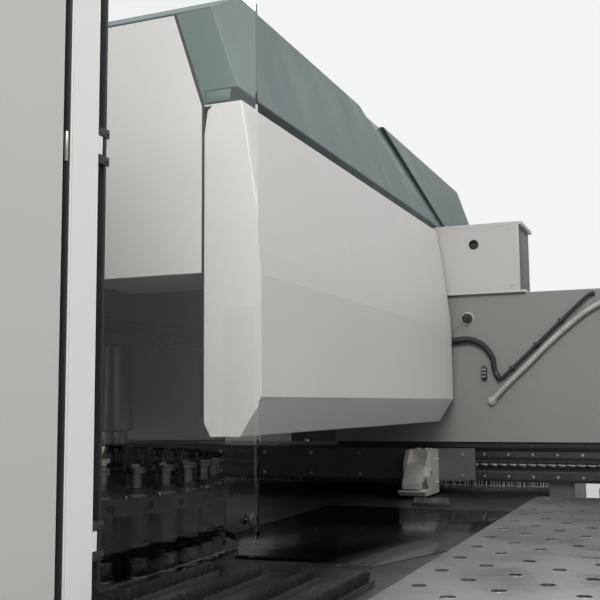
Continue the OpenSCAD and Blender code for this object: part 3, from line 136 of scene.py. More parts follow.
def steelFinish(name, tone, rough, along, scratches, stain, wear=0.0, metal=1.0):
    made, tree, shader = startFinish(name, tone, rough, metal)
    lines = speckle(tree, 14, 3, 0.6, along)
    cloud = speckle(tree, 3.5, 6, 0.6)
    colour = mixTone(tree, ramp(tree, cloud, 0.3, 0.7), shade(tone, 0.82), shade(tone, 1.12))
    colour = mixTone(tree, ramp(tree, lines, 0.35, 0.65, 0, 0.35), colour, shade(tone, 0.72))
    colour = mixTone(tree, ramp(tree, speckle(tree, 7, 9, 0.7), 0.55, 0.7, 0, stain), colour, marks["oil"])
    for turn in marks["scratchTurns"] if scratches else ():
        thin = speckle(tree, 3, 2, 0.5, (1.2, 90, 1.2), turn)
        colour = mixTone(tree, ramp(tree, thin, 0.70, 0.74, 0, scratches), colour, shade(tone, 1.5))
    if wear:
        colour = mixTone(tree, edgeMask(tree, wear), colour, shade(tone, 1.9))
    tree.links.new(colour, shader.inputs["Base Color"])
    base = ramp(tree, cloud, 0.3, 0.7, rough - 0.08, rough + 0.10)
    tree.links.new(maths(tree, "ADD", base, ramp(tree, lines, 0.3, 0.7, -0.05, 0.05)), shader.inputs["Roughness"])
    addBump(tree, shader, lines, 0.12, 0.0003)
    return made


def plasticFinish(name, tone, rough, grain=900, peel=0.12):
    made, tree, shader = startFinish(name, tone, rough)
    colour = mixTone(tree, ramp(tree, speckle(tree, 22, 5), 0.35, 0.65), shade(tone, 0.86), shade(tone, 1.15))
    tree.links.new(colour, shader.inputs["Base Color"])
    tree.links.new(ramp(tree, speckle(tree, 40, 4), 0.3, 0.7, rough - 0.07, rough + 0.07), shader.inputs["Roughness"])
    addBump(tree, shader, speckle(tree, grain, 2), peel, 0.0004)
    return made


def paneFinish(name):
    made, tree, shader = startFinish(name, (0.975, 0.99, 0.985), 0.0)
    shader.inputs["Transmission Weight"].default_value = 1.0
    shader.inputs["IOR"].default_value = 1.16
    tree.links.new(ramp(tree, speckle(tree, 6, 7, 0.65), 0.50, 0.80, 0.0, 0.012), shader.inputs["Roughness"])
    # light passes through to what is behind it
    shadow = addNode(tree, "ShaderNodeLightPath").outputs["Is Shadow Ray"]
    clear = addNode(tree, "ShaderNodeBsdfTransparent", {"Color": (0.95, 0.97, 0.965, 1)}).outputs[0]
    both = addNode(tree, "ShaderNodeMixShader", {0: shadow, 1: shader.outputs[0], 2: clear})
    out = next(n for n in tree.nodes if n.type == "OUTPUT_MATERIAL")
    tree.links.new(both.outputs[0], out.inputs[0])
    return made


finishes = {
    # frame paint: a dark slate, partly the frame's own colour, partly painted shade for the enclosed interior
    "frame_paint": paintFinish("framePaintAndPaintedShade", (0.050, 0.054, 0.062), 0.50, 0.10, 0.12, 0.10, 0.002),
    "cover_paint": paintFinish("coverPowderCoat", (0.60, 0.585, 0.56), 0.40, 0.03, 0.09),
    "post_paint": paintFinish("postPaint", (0.84, 0.84, 0.81), 0.40, 0.02, 0.06),
    "box_paint": paintFinish("boxPaint", (0.52, 0.51, 0.485), 0.40, 0.03, 0.10),
    "grey_paint": paintFinish("housingPaint", (0.245, 0.24, 0.228), 0.42, 0.05, 0.12, 0.12, 0.0015),
    "beam_paint": paintFinish("beamPaint", (0.085, 0.088, 0.092), 0.42, 0.10, 0.14, 0.10, 0.0015),
    "motor_paint": paintFinish("motorPaint", (0.028, 0.028, 0.03), 0.38, 0.12, 0.14),
    "teal_paint": paintFinish("roofPaint", (0.096, 0.140, 0.134), 0.54, 0.04, 0.10),
    "dark_green_paint": paintFinish("bandPaint", (0.018, 0.036, 0.040), 0.34, 0.05, 0.10),
    "table_steel": steelFinish("tableSteel", (0.45, 0.45, 0.445), 0.32, (1, 24, 24), 0.25, 0.35),
    "worn_steel": steelFinish("wornSteel", (0.20, 0.20, 0.20), 0.34, (1, 24, 24), 0.5, 0.45),
    "slide_steel": steelFinish("slideSteel", (0.115, 0.117, 0.122), 0.13, (1, 18, 18), 0.25, 0.15),
    # oiled steel, dark: partly oil, partly painted shade for parts inside the frame
    "oiled_steel": steelFinish("oiledSteelAndPaintedShade", (0.10, 0.10, 0.105), 0.34, (60, 60, 1), 0.0, 0.3),
    "ground_steel": steelFinish("groundSteel", (0.56, 0.565, 0.57), 0.24, (60, 60, 1), 0.0, 0.1),
    "zinc_steel": steelFinish("zincSteel", (0.52, 0.51, 0.46), 0.38, (8, 8, 8), 0.0, 0.1),
    "clamp_steel": steelFinish("clampSteel", (0.72, 0.69, 0.64), 0.46, (1, 40, 40), 0.3, 0.25, 0.0012, 0.55),
    # turret iron and tool steel made near black: painted shade for the dark turret zone under the head
    "turret_steel": steelFinish("turretIronPaintedShade", (0.020, 0.021, 0.025), 0.36, (2, 2, 90), 0.2, 0.3, 0.0012),
    "tool_steel": steelFinish("toolSteelPaintedShade", (0.075, 0.078, 0.085), 0.30, (2, 2, 90), 0.0, 0.25, 0.0008),
    "black_plastic": plasticFinish("blackPlastic", (0.018, 0.018, 0.018), 0.42),
    "grey_plastic": plasticFinish("greyPlastic", (0.42, 0.41, 0.39), 0.42),
    "black_rubber": plasticFinish("blackRubber", (0.014, 0.014, 0.014), 0.55, 1400, 0.2),
    "bristle": plasticFinish("bristleNylon", (0.022, 0.021, 0.020), 0.42),
    "comb_nylon": plasticFinish("combNylon", (0.13, 0.128, 0.12), 0.45),
    "clear_pane": paneFinish("clearPane"),
    "red_plastic": plasticFinish("redPlastic", (0.42, 0.014, 0.012), 0.28),
    "green_plastic": plasticFinish("greenPlastic", (0.014, 0.20, 0.045), 0.28),
}
print("finishes made")

# carried-over solids: a few have their own finish instead of their slot's, and sheet and plate get round edges
# the ram cylinder takes the near-black motor paint as painted shade; the rails, ram and die set take the dark oiled and
# tool steel, partly their own colour, partly painted shade
ownFinish = {"x_rails": "oiled_steel", "y_rails": "oiled_steel", "ram": "oiled_steel", "ram_cylinder": "motor_paint",
             "die_set": "tool_steel", "centre_table": "worn_steel"}
roundEdges = {
    0.001: "clamp_bodies clamp_jaw_right clamp_jaw_left",
    0.0012: "eave_strips",
    0.0015: "x_carriage",
    0.002: "nose_covers roof_band door_posts service_housing junction_box crossbeam electric_cabinet cabinet_door "
           "hydraulic_unit pendant_arm pendant_head ram_cylinder",
    0.0025: "hood_right hood_left roof_cap_front roof_cap_rear",
    0.003: "front_column_cover front_roof_cover rear_column_cover o_frame side_beam_right side_beam_left",
}


def finishSolids():
    slotOf = {row["node"]: row["material_slot"] for row in frame["record"]["subparts"]}
    edgeOf = {name: width for width, names in roundEdges.items() for name in names.split()}
    for name, solid in frame["nodes"].items():
        finish = finishes[ownFinish.get(name, slotOf[name])]
        if not solid.material_slots:
            solid.data.materials.append(finish)
        for place in solid.material_slots:
            place.material = finish
        if name in edgeOf:
            solid.modifiers.new("weld", "WELD").merge_threshold = 0.00002
            bevel = solid.modifiers.new("roundEdges", "BEVEL")
            bevel.width, bevel.segments = edgeOf[name], 2
            bevel.limit_method, bevel.angle_limit = "ANGLE", radians(25)
            bevel.harden_normals = bevel.use_clamp_overlap = True


finishSolids()
print("solids finished")

up, toFront = (0, 0, 1), (0, -1, 0)
bothSides = ((1, "r"), (-1, "l"))


# mesh helpers: each adds its shape to a bmesh, in metres
def circle(count, reach, start=0.0, middle=(0, 0)):
    # points evenly round a circle, the first one moved on by that many of them
    angles = [2 * pi * (k + start) / count for k in range(count)]
    return [(middle[0] + reach * cos(a), middle[1] + reach * sin(a)) for a in angles]


def skin(bm, rings, closed=False):
    # faces between rings that have the same number of corners
    for low, high in zip(rings, rings[1:] + rings[:1] * closed):
        for k in range(len(low)):
            m = (k + 1) % len(low)
            bm.faces.new((low[k], low[m], high[m], high[k]))


def turned(bm, profile, place, axis=up, sides=24, twist=0.0):
    # profile rows are radius, height and, for a six-sided ring, 6
    turn = Vector(axis).to_track_quat("Z", "Y").to_matrix()
    wedge = pi / 3
    rings = []
    for radius, height, *six in profile:
        ring = []
        for i in range(sides if radius > 0 else 1):
            angle = 2 * pi * i / sides + twist
            reach = radius * cos(wedge / 2) / cos((angle % wedge) - wedge / 2) if six else radius
            ring.append(bm.verts.new(Vector(place) + turn @ Vector((reach * cos(angle), reach * sin(angle), height))))
        rings.append(ring)
    for low, high in zip(rings, rings[1:]):
        if len(low) == len(high):
            skin(bm, [low, high])
        else:
            wide, tip = (low, high[0]) if len(high) == 1 else (high, low[0])
            for i in range(sides):
                bm.faces.new((wide[i], wide[(i + 1) % sides], tip))
    for ring in (rings[0], rings[-1]):
        if len(ring) > 1:
            bm.faces.new(ring)


def mm(*rows):
    # profile rows written in millimetres
    return [(row[0] / 1000, row[1] / 1000, *row[2:]) for row in rows]


def hoop(bm, profile, place, sides=32):
    # a level ring: the closed outline of its section, as radius and height
    skin(bm, [[bm.verts.new((x, y, place[2] + height)) for x, y in circle(sides, radius, 0, place)]
              for radius, height in profile], True)


def roundCorners(bm, edges, width):
    bmesh.ops.bevel(bm, geom=list(edges), offset=width, segments=2, affect="EDGES", profile=0.6)


def bar(bm, first, last, edge=0.0):
    # a block between two opposite corners
    low, high = (Vector([pick(pair) for pair in zip(first, last)]) for pick in (min, max))
    made = bmesh.ops.create_cube(bm, size=1.0)["verts"]
    for vert in made:
        vert.co = (low + high) / 2 + vert.co * (high - low)
    if edge:
        roundCorners(bm, {e for v in made for e in v.link_edges}, edge)


def spotAt(point, axis, height):
    # a point of a flat outline, lifted to its height along the axis
    return [*point[:axis], height, *point[axis:]]


def slab(bm, outline, axis, low, high, edge=0.0):
    # a flat plate: its outline in the two other axes, in order, and its span along the axis
    rings = [[bm.verts.new(spotAt(point, axis, height)) for point in outline] for height in sorted((low, high))]
    faces = [bm.faces.new(rings[0][::-1]), bm.faces.new(rings[1])]
    skin(bm, rings)
    if edge:
        roundCorners(bm, [e for face in faces for e in face.edges], edge)


def frameBars(bm, axis, outer, inner, near, far, edge=0.0):
    # four bars between an outer and an inner rectangle, each given as left, low, right, high
    (a, b, c, d), (e, f, g, h) = outer, inner
    for first, last in (((a, b), (c, f)), ((a, h), (c, d)), ((a, f), (e, h)), ((g, f), (c, h))):
        bar(bm, spotAt(first, axis, near), spotAt(last, axis, far), edge)


def roundedBox(low, high, r, steps=5):
    # the outline of a rectangle with round corners
    left, right, under, over = low[0] + r, high[0] - r, low[1] + r, high[1] - r
    middles = ((right, over), (left, over), (left, under), (right, under))
    return [(x + r * cos(a), y + r * sin(a)) for q, (x, y) in enumerate(middles)
            for a in (radians(90 * (q + k / steps)) for k in range(steps + 1))]


def tube(bm, points, radius, sides):
    # radius may be one number or a function of the share along the run
    points = [Vector(point) for point in points]
    last = len(points) - 1
    lift = Vector((0, 1, 0))
    rings = []
    for i, point in enumerate(points):
        ahead = (points[min(i + 1, last)] - points[max(i - 1, 0)]).normalized()
        lift = lift - ahead * lift.dot(ahead)
        lift = lift.normalized() if lift.length > 1e-6 else ahead.orthogonal().normalized()
        across = ahead.cross(lift)
        reach = radius(i / last) if callable(radius) else radius
        rings.append([bm.verts.new(point + x * lift + y * across) for x, y in circle(sides, reach)])
    skin(bm, rings)
    bm.faces.new(rings[0])
    bm.faces.new(rings[-1])


def capScrews(bm, places, axis, size, tall=None):
    # cap screws of that thread size, their heads standing on the places
    r, h, key = size * 0.78, tall or size * 0.9, size * 0.46
    for place in places:
        turned(bm, [(r, -size * 0.05), (r, h * 0.8), (r * 0.9, h), (key, h, 6), (key, h * 0.45, 6), (0, h * 0.40)],
               place, axis, 18)


def rivets(bm, places, axis, r):
    for place in places:
        turned(bm, [(r, -r * 0.1), (r, 0), (r * 0.85, r * 0.32), (r * 0.45, r * 0.5), (0, r * 0.56)], place, axis, 14)


def grid(xs, ys, zs):
    return [(x, y, z) for x in xs for y in ys for z in zs]


def spread(low, high, count):
    # evenly placed numbers from low to high
    return [low + (high - low) * k / (count - 1) for k in range(count)]


def rowOf(first, last, count):
    # evenly placed points from first to last
    return [Vector(first).lerp(Vector(last), k / (count - 1)) for k in range(count)]


def smoothRun(points, steps):
    # a smooth curve through its points
    last = len(points) - 1
    made = []
    for i in range(last):
        a, b, c, d = (Vector(points[max(0, min(last, i + k))]) for k in (-1, 0, 1, 2))
        for u in (k / steps for k in range(steps)):
            bend, twist = 2 * a - 5 * b + 4 * c - d, 3 * b - a - 3 * c + d
            made.append(0.5 * (2 * b + (c - a) * u + bend * u * u + twist * u ** 3))
    return made + [Vector(points[last])]


def newPiece(name, bm, body, slot, standsFor=(), sharp=35, finish=None):
    bmesh.ops.recalc_face_normals(bm, faces=bm.faces)
    mesh = bpy.data.meshes.new(name)
    bm.to_mesh(mesh)
    bm.free()
    made = bpy.data.objects.new(name, mesh)
    bpy.context.scene.collection.objects.link(made)
    mesh.materials.append(finishes[finish or slot])
    mesh.shade_smooth()
    mesh.set_sharp_from_angle(angle=radians(sharp))
    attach(made, body)
    if standsFor:
        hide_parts(*standsFor)


# tool change doors: clear pane with a dark seal along its hinge edge, hinge leaves and knob
door = {"outside": 0.717, "thick": 0.008, "front": -1.422, "back": -0.906, "low": 1.000, "high": 2.080, "corner": 0.012,
        "pin": (0.713, -1.430), "hingeHeights": (1.070, 1.615, 2.020), "leaf": 0.018,
        "knob": (-0.956, 1.045), "seal": 0.0045}


def makeDoor(side, name, node):
    body = "door_" + name
    outside, inside = side * door["outside"], side * (door["outside"] - door["thick"])
    bm = bmesh.new()
    outline = roundedBox((door["front"], door["low"]), (door["back"], door["high"]), door["corner"])
    slab(bm, outline, 0, inside, outside, 0.0009)
    newPiece("doorPane_" + name, bm, body, "clear_pane", (node,), 10)
    bm = bmesh.new()
    pinX, pinY = door["pin"]
    for z in (middle + shift for middle in door["hingeHeights"] for shift in (-0.020, 0.020)):
        turned(bm, mm((4.5, -6.6), (6, -5.2), (6, 5.2), (4.5, 6.6), (0, 6.6)), (side * pinX, pinY, z), sides=20)
        for near, far, start in ((0.7172, 0.7195, 0), (0.7065, 0.7088, 0.010)):
            bar(bm, (side * near, pinY + start, z - 0.0065), (side * far, pinY + door["leaf"], z + 0.0065), 0.0006)
        rivets(bm, [(side * 0.7195, pinY + door["leaf"] - 0.005, z)], (side, 0, 0), 0.0028)
    newPiece("doorHinges_" + name, bm, body, "black_plastic")
    bm = bmesh.new()
    turned(bm, mm((4, -12), (4, 3), (6.5, 3.5), (7.5, 6), (12.5, 8), (13, 10.5), (11, 13.5), (6, 14.5), (0, 14.6)),
           (outside, *door["knob"]), (side, 0, 0), 32)
    turned(bm, mm((9, 0), (9, 4), (7, 6), (0, 6)), (inside, *door["knob"]), (-side, 0, 0))
    newPiece("doorKnob_" + name, bm, body, "black_plastic")
    bm = bmesh.new()
    bar(bm, (inside - side * 0.0012, door["front"] - 0.0004, door["low"] + 0.004),
        (outside + side * 0.0012, door["front"] + door["seal"], door["high"] - 0.004), 0.0005)
    newPiece("doorSeals_" + name, bm, body, "black_rubber")


makeDoor(1, "r", "tool_door_right")
makeDoor(-1, "l", "tool_door_left")
print("doors made")

# brush strips: a folded channel with its screws, and tufts of single strands
brushes = {"columns": (0.640, 0.740, 0.840, 0.940), "front": -1.400, "back": -0.940, "rear": (0.664, 0.320, 0.120),
           "table": 0.940, "tip": 0.027, "base": 0.009, "strand": 0.00055, "seed": 41,
           "channel": ((-0.011, -0.008, 0.010, 0.0007), (0.008, 0.011, 0.010, 0.0007), (-0.0085, 0.0085, 0.003, 0)),
           "strip": {"pitch": 0.023, "strands": 52, "wide": 0.0082, "lean": 1.0},
           "comb": {"pitch": 0.0078, "strands": 14, "wide": 0.0024, "lean": 0.3}}


def strand(bm, foot, tip, thick):
    middle = (foot + tip) / 2 + Vector((0, 0, thick))
    rings = [[bm.verts.new(point + Vector((x, y, 0))) for x, y in circle(3, thick * share)]
             for share, point in ((1.0, foot), (0.95, middle), (0.55, tip))]
    skin(bm, rings)
    bm.faces.new(rings[-1])


def makeTuft(bm, foot, tuft, dice):
    wide, strands = tuft["wide"], tuft["strands"]
    turned(bm, [(wide * 0.7, -0.0062), (wide * 0.7, 0.0002), (wide * 0.45, 0.0008), (0, 0.0009)], foot, sides=12)
    lean = Vector((dice.uniform(-0.0012, 0.0012), dice.uniform(-0.0012, 0.0012), 0)) * tuft["lean"]
    for s in range(strands):
        # the strands' feet lie on a sunflower spiral
        angle, reach = 2.39996 * s, sqrt((s + 0.5) / strands)
        out = Vector((cos(angle), sin(angle), 0)) * reach
        tall = brushes["tip"] - brushes["base"] - dice.uniform(0, 0.0014) - 0.001 * reach
        tip = foot + out * (wide + dice.uniform(-0.1, 0.1) * wide) + lean + Vector((0, 0, tall))
        strand(bm, foot + out * wide * 0.56, tip, brushes["strand"])


def makeBrushes():
    dice = random.Random(brushes["seed"])
    long = brushes["back"] - brushes["front"]
    strips = [(side * x, brushes["front"], (0, 1, 0), long, "strip") for side in (1, -1) for x in brushes["columns"]]
    rearX, rearY, rearLong = brushes["rear"]
    strips += [(side * rearX, rearY, (side, 0, 0), rearLong, "comb") for side in (1, -1)]
    channels, tufts = bmesh.new(), {"strip": bmesh.new(), "comb": bmesh.new()}
    for x, y, way, length, kind in strips:
        along, start, pitch = Vector(way), Vector((x, y, brushes["table"])), brushes[kind]["pitch"]
        across = Vector((along.y, -along.x, 0))
        for low, high, tall, edge in brushes["channel"]:
            bar(channels, start + across * low, start + along * length + across * high + Vector((0, 0, tall)), edge)
        for k in range(int((length - 0.014) / pitch) + 1):
            foot = start + along * (0.008 + k * pitch) + Vector((0, 0, brushes["base"]))
            makeTuft(tufts[kind], foot, brushes[kind], dice)
        rivets(channels, [start + along * min(length - 0.02, 0.0195 + 0.138 * k) + Vector((0, 0, 0.003))
                          for k in range(int(length / 0.15) + 1)], up, 0.003)
    newPiece("brushChannels", channels, "root", "black_plastic", ("table_brushes",))
    newPiece("brushBristles", tufts["strip"], "root", "bristle")
    newPiece("combBristles", tufts["comb"], "root", "grey_plastic", finish="comb_nylon")


makeBrushes()
print("brushes made")

# thin polished plates on the centre table beside and behind the turret
plates = {"top": 0.940, "thick": 0.0016,
          "corners": ((0.592, -0.760), (0.889, -0.760), (0.997, -0.470), (0.997, 0.250), (0.420, 0.250),
                      (0.420, -0.420), (0.520, -0.600), (0.575, -0.700)),
          "screws": ((0.62, -0.735), (0.86, -0.735), (0.975, -0.44), (0.975, -0.1), (0.975, 0.23), (0.70, 0.23),
                     (0.44, 0.23), (0.44, -0.38))}


def makePlates():
    top = plates["top"] + plates["thick"]
    for side, name in bothSides:
        bm = bmesh.new()
        slab(bm, [(side * x, y) for x, y in plates["corners"]][::side], 2, plates["top"] - 0.0004, top, 0.0005)
        for x, y in plates["screws"]:
            turned(bm, mm((6.2, -0.2), (5.8, 0.2), (3, 0.2, 6), (2.9, -1, 6), (0, -1)), (side * x, y, top))
        newPiece("slidePlate_" + name, bm, "root", "table_steel", (), 20, "slide_steel")


makePlates()

# hose, cable, conduit and their holders on the service housing
cords = {
    "face": 0.690, "lane": 0.677,
    "hose": ((0.660, 1.458), (0.720, 1.464), (0.776, 1.466), (0.822, 1.446), (0.852, 1.405), (0.858, 1.368),
             (0.868, 1.342)),
    "cable": ((0.868, 1.342), (0.884, 1.336), (0.918, 1.365), (1.000, 1.441), (1.083, 1.519), (1.165, 1.594),
              (1.186, 1.606)),
    "conduit": ((0.846, 1.257), (0.905, 1.317), (0.970, 1.378), (1.040, 1.446), (1.120, 1.514), (1.180, 1.557),
                (1.250, 1.586), (1.340, 1.592)),
    "cableHalf": 0.0056, "conduitHalf": 0.0088, "ripple": 0.0006,
    "ties": ((0.918, 1.365), (1.000, 1.441), (1.083, 1.519)), "tieHalf": 0.0066, "tieThick": 0.0016, "tieWide": 0.0044,
    "terminal": (0.822, 1.352),
}


def gland(bm, x, z, bore):
    # a cable gland: hexagon foot, dome nut
    turned(bm, [(bore * 1.75, 0, 6), (bore * 1.75, bore * 0.7, 6), (bore * 1.55, bore * 0.8), (bore * 1.5, bore * 1.3),
                (bore * 1.2, bore * 1.65), (bore * 1.02, bore * 1.7), (0, bore * 1.7)],
           (x, cords["face"] - 0.0001, z), toFront)


def cordRun(key, steps):
    return smoothRun([(x, cords["lane"], z) for x, z in cords[key]], steps)


def makeHoses():
    lane = cords["lane"]
    bm = bmesh.new()
    hose = cordRun("hose", 44)
    ribs = len(hose) / 6
    # it thins towards the cable, with a rib every few points
    tube(bm, hose, lambda u: 0.0118 - 0.0042 * max(0.0, u - 0.15) / 0.85 + cords["ripple"] * cos(2 * pi * u * ribs), 16)
    newPiece("controlHose", bm, "root", "black_rubber", ("control_cable",))
    bm = bmesh.new()
    tube(bm, cordRun("cable", 10), cords["cableHalf"], 14)
    endX, endZ = cords["cable"][-1]
    tube(bm, [(endX, lane + k * 0.0022, endZ) for k in range(6)], cords["cableHalf"], 14)
    gland(bm, *cords["hose"][0], 0.0095)
    gland(bm, endX, endZ, 0.0050)
    joinX, joinZ = cords["cable"][0]
    turned(bm, mm((8.5, -16), (9.8, -14), (9.8, 12), (6.8, 17), (5.6, 18)), (joinX, lane, joinZ), (0.46, 0, -0.89), 20)
    newPiece("controlCable", bm, "root", "black_plastic")
    bm = bmesh.new()
    conduit = cordRun("conduit", 40)
    ribs = len(conduit) / 5
    tube(bm, conduit, lambda u: cords["conduitHalf"] + cords["ripple"] * cos(2 * pi * u * ribs), 16)
    for end in (cords["conduit"][0], cords["conduit"][-1]):
        gland(bm, *end, cords["conduitHalf"])
    newPiece("cableConduit", bm, "root", "grey_plastic", ("cable_conduit",))


def makeTies():
    face, lane, half = cords["face"], cords["lane"], cords["tieHalf"]
    bm = bmesh.new()
    turn = Matrix.Rotation(radians(43), 3, "Y")
    section = [Vector(spot) * half / max(map(abs, spot)) ** 0.55 for spot in circle(24, 1)]
    for x, z in cords["ties"]:
        # a band round the cable, its foot on the housing, its head and cut end
        loops = [[bm.verts.new(Vector((x, lane, z)) + turn @ Vector((way * cords["tieWide"] / 2, 0, p.y * grow))
                               + Vector((0, p.x * grow, 0))) for p in section]
                 for grow in (1, 1 + cords["tieThick"] / half) for way in (-1, 1)]
        skin(bm, [loops[i] for i in (0, 1, 3, 2)], True)
        bar(bm, (x - 0.008, face - 0.0052, z - 0.008), (x + 0.008, face, z + 0.008), 0.0008)
        head = Vector((x - 0.0060, lane - 0.006, z + 0.0066))
        bar(bm, head - Vector((0.0026, 0.0022, 0.003)), head + Vector((0.0026, 0.0022, 0.003)), 0.0005)
        bar(bm, head + Vector((-0.0011, -0.010, -0.0006)), head + Vector((0.0011, -0.0015, 0.0006)), 0.0002)
    newPiece("cableTies", bm, "root", "black_plastic", ("cable_clips",))


def makeTerminal():
    (x, z), face = cords["terminal"], cords["face"]
    bm = bmesh.new()
    bar(bm, (x - 0.009, face - 0.016, z - 0.020), (x + 0.009, face, z + 0.020), 0.0012)
    for low in (z - 0.0255, z + 0.0135):
        bar(bm, (x - 0.004, face - 0.004, low), (x + 0.004, face, low + 0.012), 0.0008)
    for middle in (z - 0.006, z + 0.006):
        bar(bm, (x - 0.0085, face - 0.0175, middle - 0.0006), (x + 0.0085, face - 0.0155, middle + 0.0006), 0.0002)
    newPiece("terminalBody", bm, "root", "black_plastic", ("terminal_block",))
    bm = bmesh.new()
    for place in grid((x - 0.004, x + 0.004), (face - 0.016,), (z - 0.012, z, z + 0.012)):
        turned(bm, mm((2.9, -1), (2.9, 1.6), (2.4, 2.1), (0.8, 1.6), (0, 1.2)), place, toFront, 20)
    newPiece("terminalPins", bm, "root", "grey_plastic")


makeHoses()
makeTies()
makeTerminal()
print("cords made")

# latch on the housing, and the junction box's grommet, lid, screws and edges
latch = {"place": (0.769, 0.690, 1.541), "radius": 0.017, "ribs": 18}
box = {"low": (0.600, 0.680, 1.622), "high": (0.950, 0.910, 1.866), "hole": (0.800, 1.795), "holeRadius": 0.015,
       "groove": 0.0012}


def makeLatch():
    bm = bmesh.new()
    (x, y, z), r = latch["place"], latch["radius"]
    turned(bm, [(r * 0.5, -0.012), (r * 0.5, 0.0003), (r, 0.0004), (r, 0.010), (r * 0.94, 0.013), (r * 0.80, 0.014),
                (r * 0.78, 0.0125), (0, 0.0125)], (x, y, z), toFront, 48)
    for ribX, ribZ in circle(latch["ribs"], r, 0, (x, z)):
        turned(bm, mm((0.8, 2), (0.8, 10.5), (0, 11)), (ribX, y, ribZ), toFront, 6)
    newPiece("latchKnob", bm, "latch", "black_plastic")
    bm = bmesh.new()
    bar(bm, (x - 0.005, y - 0.0258, z - 0.0148), (x + 0.005, y - 0.012, z + 0.0148), 0.0016)
    newPiece("latchGrip", bm, "latch", "black_plastic", ("housing_latch",))
    bm = bmesh.new()
    turned(bm, mm((21.5, -0.5), (21.5, 0.1), (20.5, 0.25), (17.8, 0.25), (17.8, -0.5)), (x, y, z), toFront, 48)
    newPiece("latchPlate", bm, "root", "zinc_steel")


def makeBoxDetail():
    low, high = Vector(box["low"]), Vector(box["high"])
    bm = bmesh.new()
    (x, z), r = box["hole"], box["holeRadius"]
    turned(bm, [(r - 0.0035, -0.006), (r + 0.0035, -0.006), (r + 0.0035, -0.0032), (r - 0.0002, -0.003),
                (r - 0.0002, 0.0), (r + 0.0016, 0.0002), (r + 0.0019, 0.0012), (r + 0.0012, 0.0022),
                (r - 0.0005, 0.0025), (r - 0.0025, 0.003), (r - 0.0035, -0.001), (r - 0.0035, -0.0058)],
           (x, low.y, z), toFront, 40)
    newPiece("boxGrommet", bm, "root", "black_rubber")
    bm = bmesh.new()
    # a lid let into the face, with its four screws
    x0, z0, x1, z1 = low.x + 0.012, low.z + 0.014, high.x - 0.012, high.z - 0.012
    wide = box["groove"]
    for left, under, right, over in ((x0, z0, x1, z0 + wide), (x0, z1 - wide, x1, z1), (x0, z0, x0 + wide, z1),
                                     (x1 - wide, z0, x1, z1)):
        bar(bm, (left, low.y - 0.0006, under), (right, low.y + 0.0004, over))
    capScrews(bm, grid((x0 + 0.012, x1 - 0.012), (low.y,), (z0 + 0.012, z1 - 0.012)), toFront, 0.005, 0.003)
    newPiece("boxScrews", bm, "root", "zinc_steel")
    bm = bmesh.new()
    bar(bm, (low.x + 0.001, low.y - 0.0045, low.z + 0.0002), (high.x + 0.020, low.y + 0.016, low.z + 0.0052), 0.0009)
    bar(bm, (high.x - 0.002, low.y + 0.002, high.z - 0.012), (high.x + 0.014, high.y - 0.004, high.z + 0.0002), 0.0012)
    bar(bm, (high.x - 0.002, low.y + 0.0165, low.z + 0.0004), (high.x + 0.020, high.y - 0.004, low.z + 0.010), 0.0012)
    bar(bm, (high.x - 0.002, low.y, low.z + 0.0055), (high.x + 0.0035, low.y + 0.010, high.z - 0.0125), 0.0009)
    newPiece("boxFlange", bm, "root", "box_paint")
    bm = bmesh.new()
    # a dark plate over the box's right face, with its rivets: painted shade on that side
    slab(bm, roundedBox((low.y + 0.011, low.z + 0.0105), (high.y - 0.008, high.z - 0.0125), 0.004), 0,
         high.x - 0.001, high.x + 0.0022, 0.0008)
    rivets(bm, grid((high.x + 0.0022,), (high.y - 0.020,), spread(low.z + 0.05, high.z - 0.05, 3)), (1, 0, 0), 0.0035)
    newPiece("boxSideShadePanel", bm, "root", "beam_paint")


makeLatch()
makeBoxDetail()
print("housing details made")

# turret: heads on the tools, screws between the stations, rings and hub
turret = {"middle": (0.0, -0.800), "stations": 40, "empty": 20, "ring": 0.500, "rim": 1.080, "head": 0.023,
          "headTop": 1.140, "guideLow": 0.988, "hubTop": 1.120, "lowTop": 0.925,
          "points": (0.0110, 0.0085, 0.0100, 0.0062)}


def atStations(outward=0.0, onward=0.0):
    # places round the disc from the ram's station on, shifted outward in metres and onward in stations
    count = turret["stations"]
    return circle(count, turret["ring"] + outward, count / 4 + onward, turret["middle"])


def toolShape(bm, i):
    # a tool: ground punch point, stem, thick head with its adjusting screw and grip groove
    top, r, low = turret["headTop"], turret["head"], turret["guideLow"] + 0.003
    point = turret["points"][i % 4]
    sixSided = (6,) if i % 4 == 3 else ()
    turned(bm, [(point, low, *sixSided), (point, low + 0.019, *sixSided), (0.0148, low + 0.023), (0.0148, top - 0.0172),
                (r - 0.0012, top - 0.0171), (r, top - 0.0160), (r, top - 0.0105), (r - 0.0012, top - 0.0098),
                (r - 0.0012, top - 0.0084), (r, top - 0.0077), (r, top - 0.0042), (r - 0.0038, top), (0.0125, top),
                (0.0115, top - 0.0012), (0.0070, top - 0.0012), (0.0070, top - 0.0012, 6), (0.0068, top - 0.0062, 6),
                (0, top - 0.0064)], (*atStations()[i], 0), sides=36, twist=radians(17 * i))


def makeTools():
    bm = bmesh.new()
    for i in range(1, turret["stations"]):
        if i != turret["empty"]:
            toolShape(bm, i)
    newPiece("toolHeads", bm, "turret_upper", "tool_steel", ("punch_tools",), 30)
    bm = bmesh.new()
    toolShape(bm, 0)
    newPiece("activeTool", bm, "punch", "tool_steel", ("active_punch",), 30)


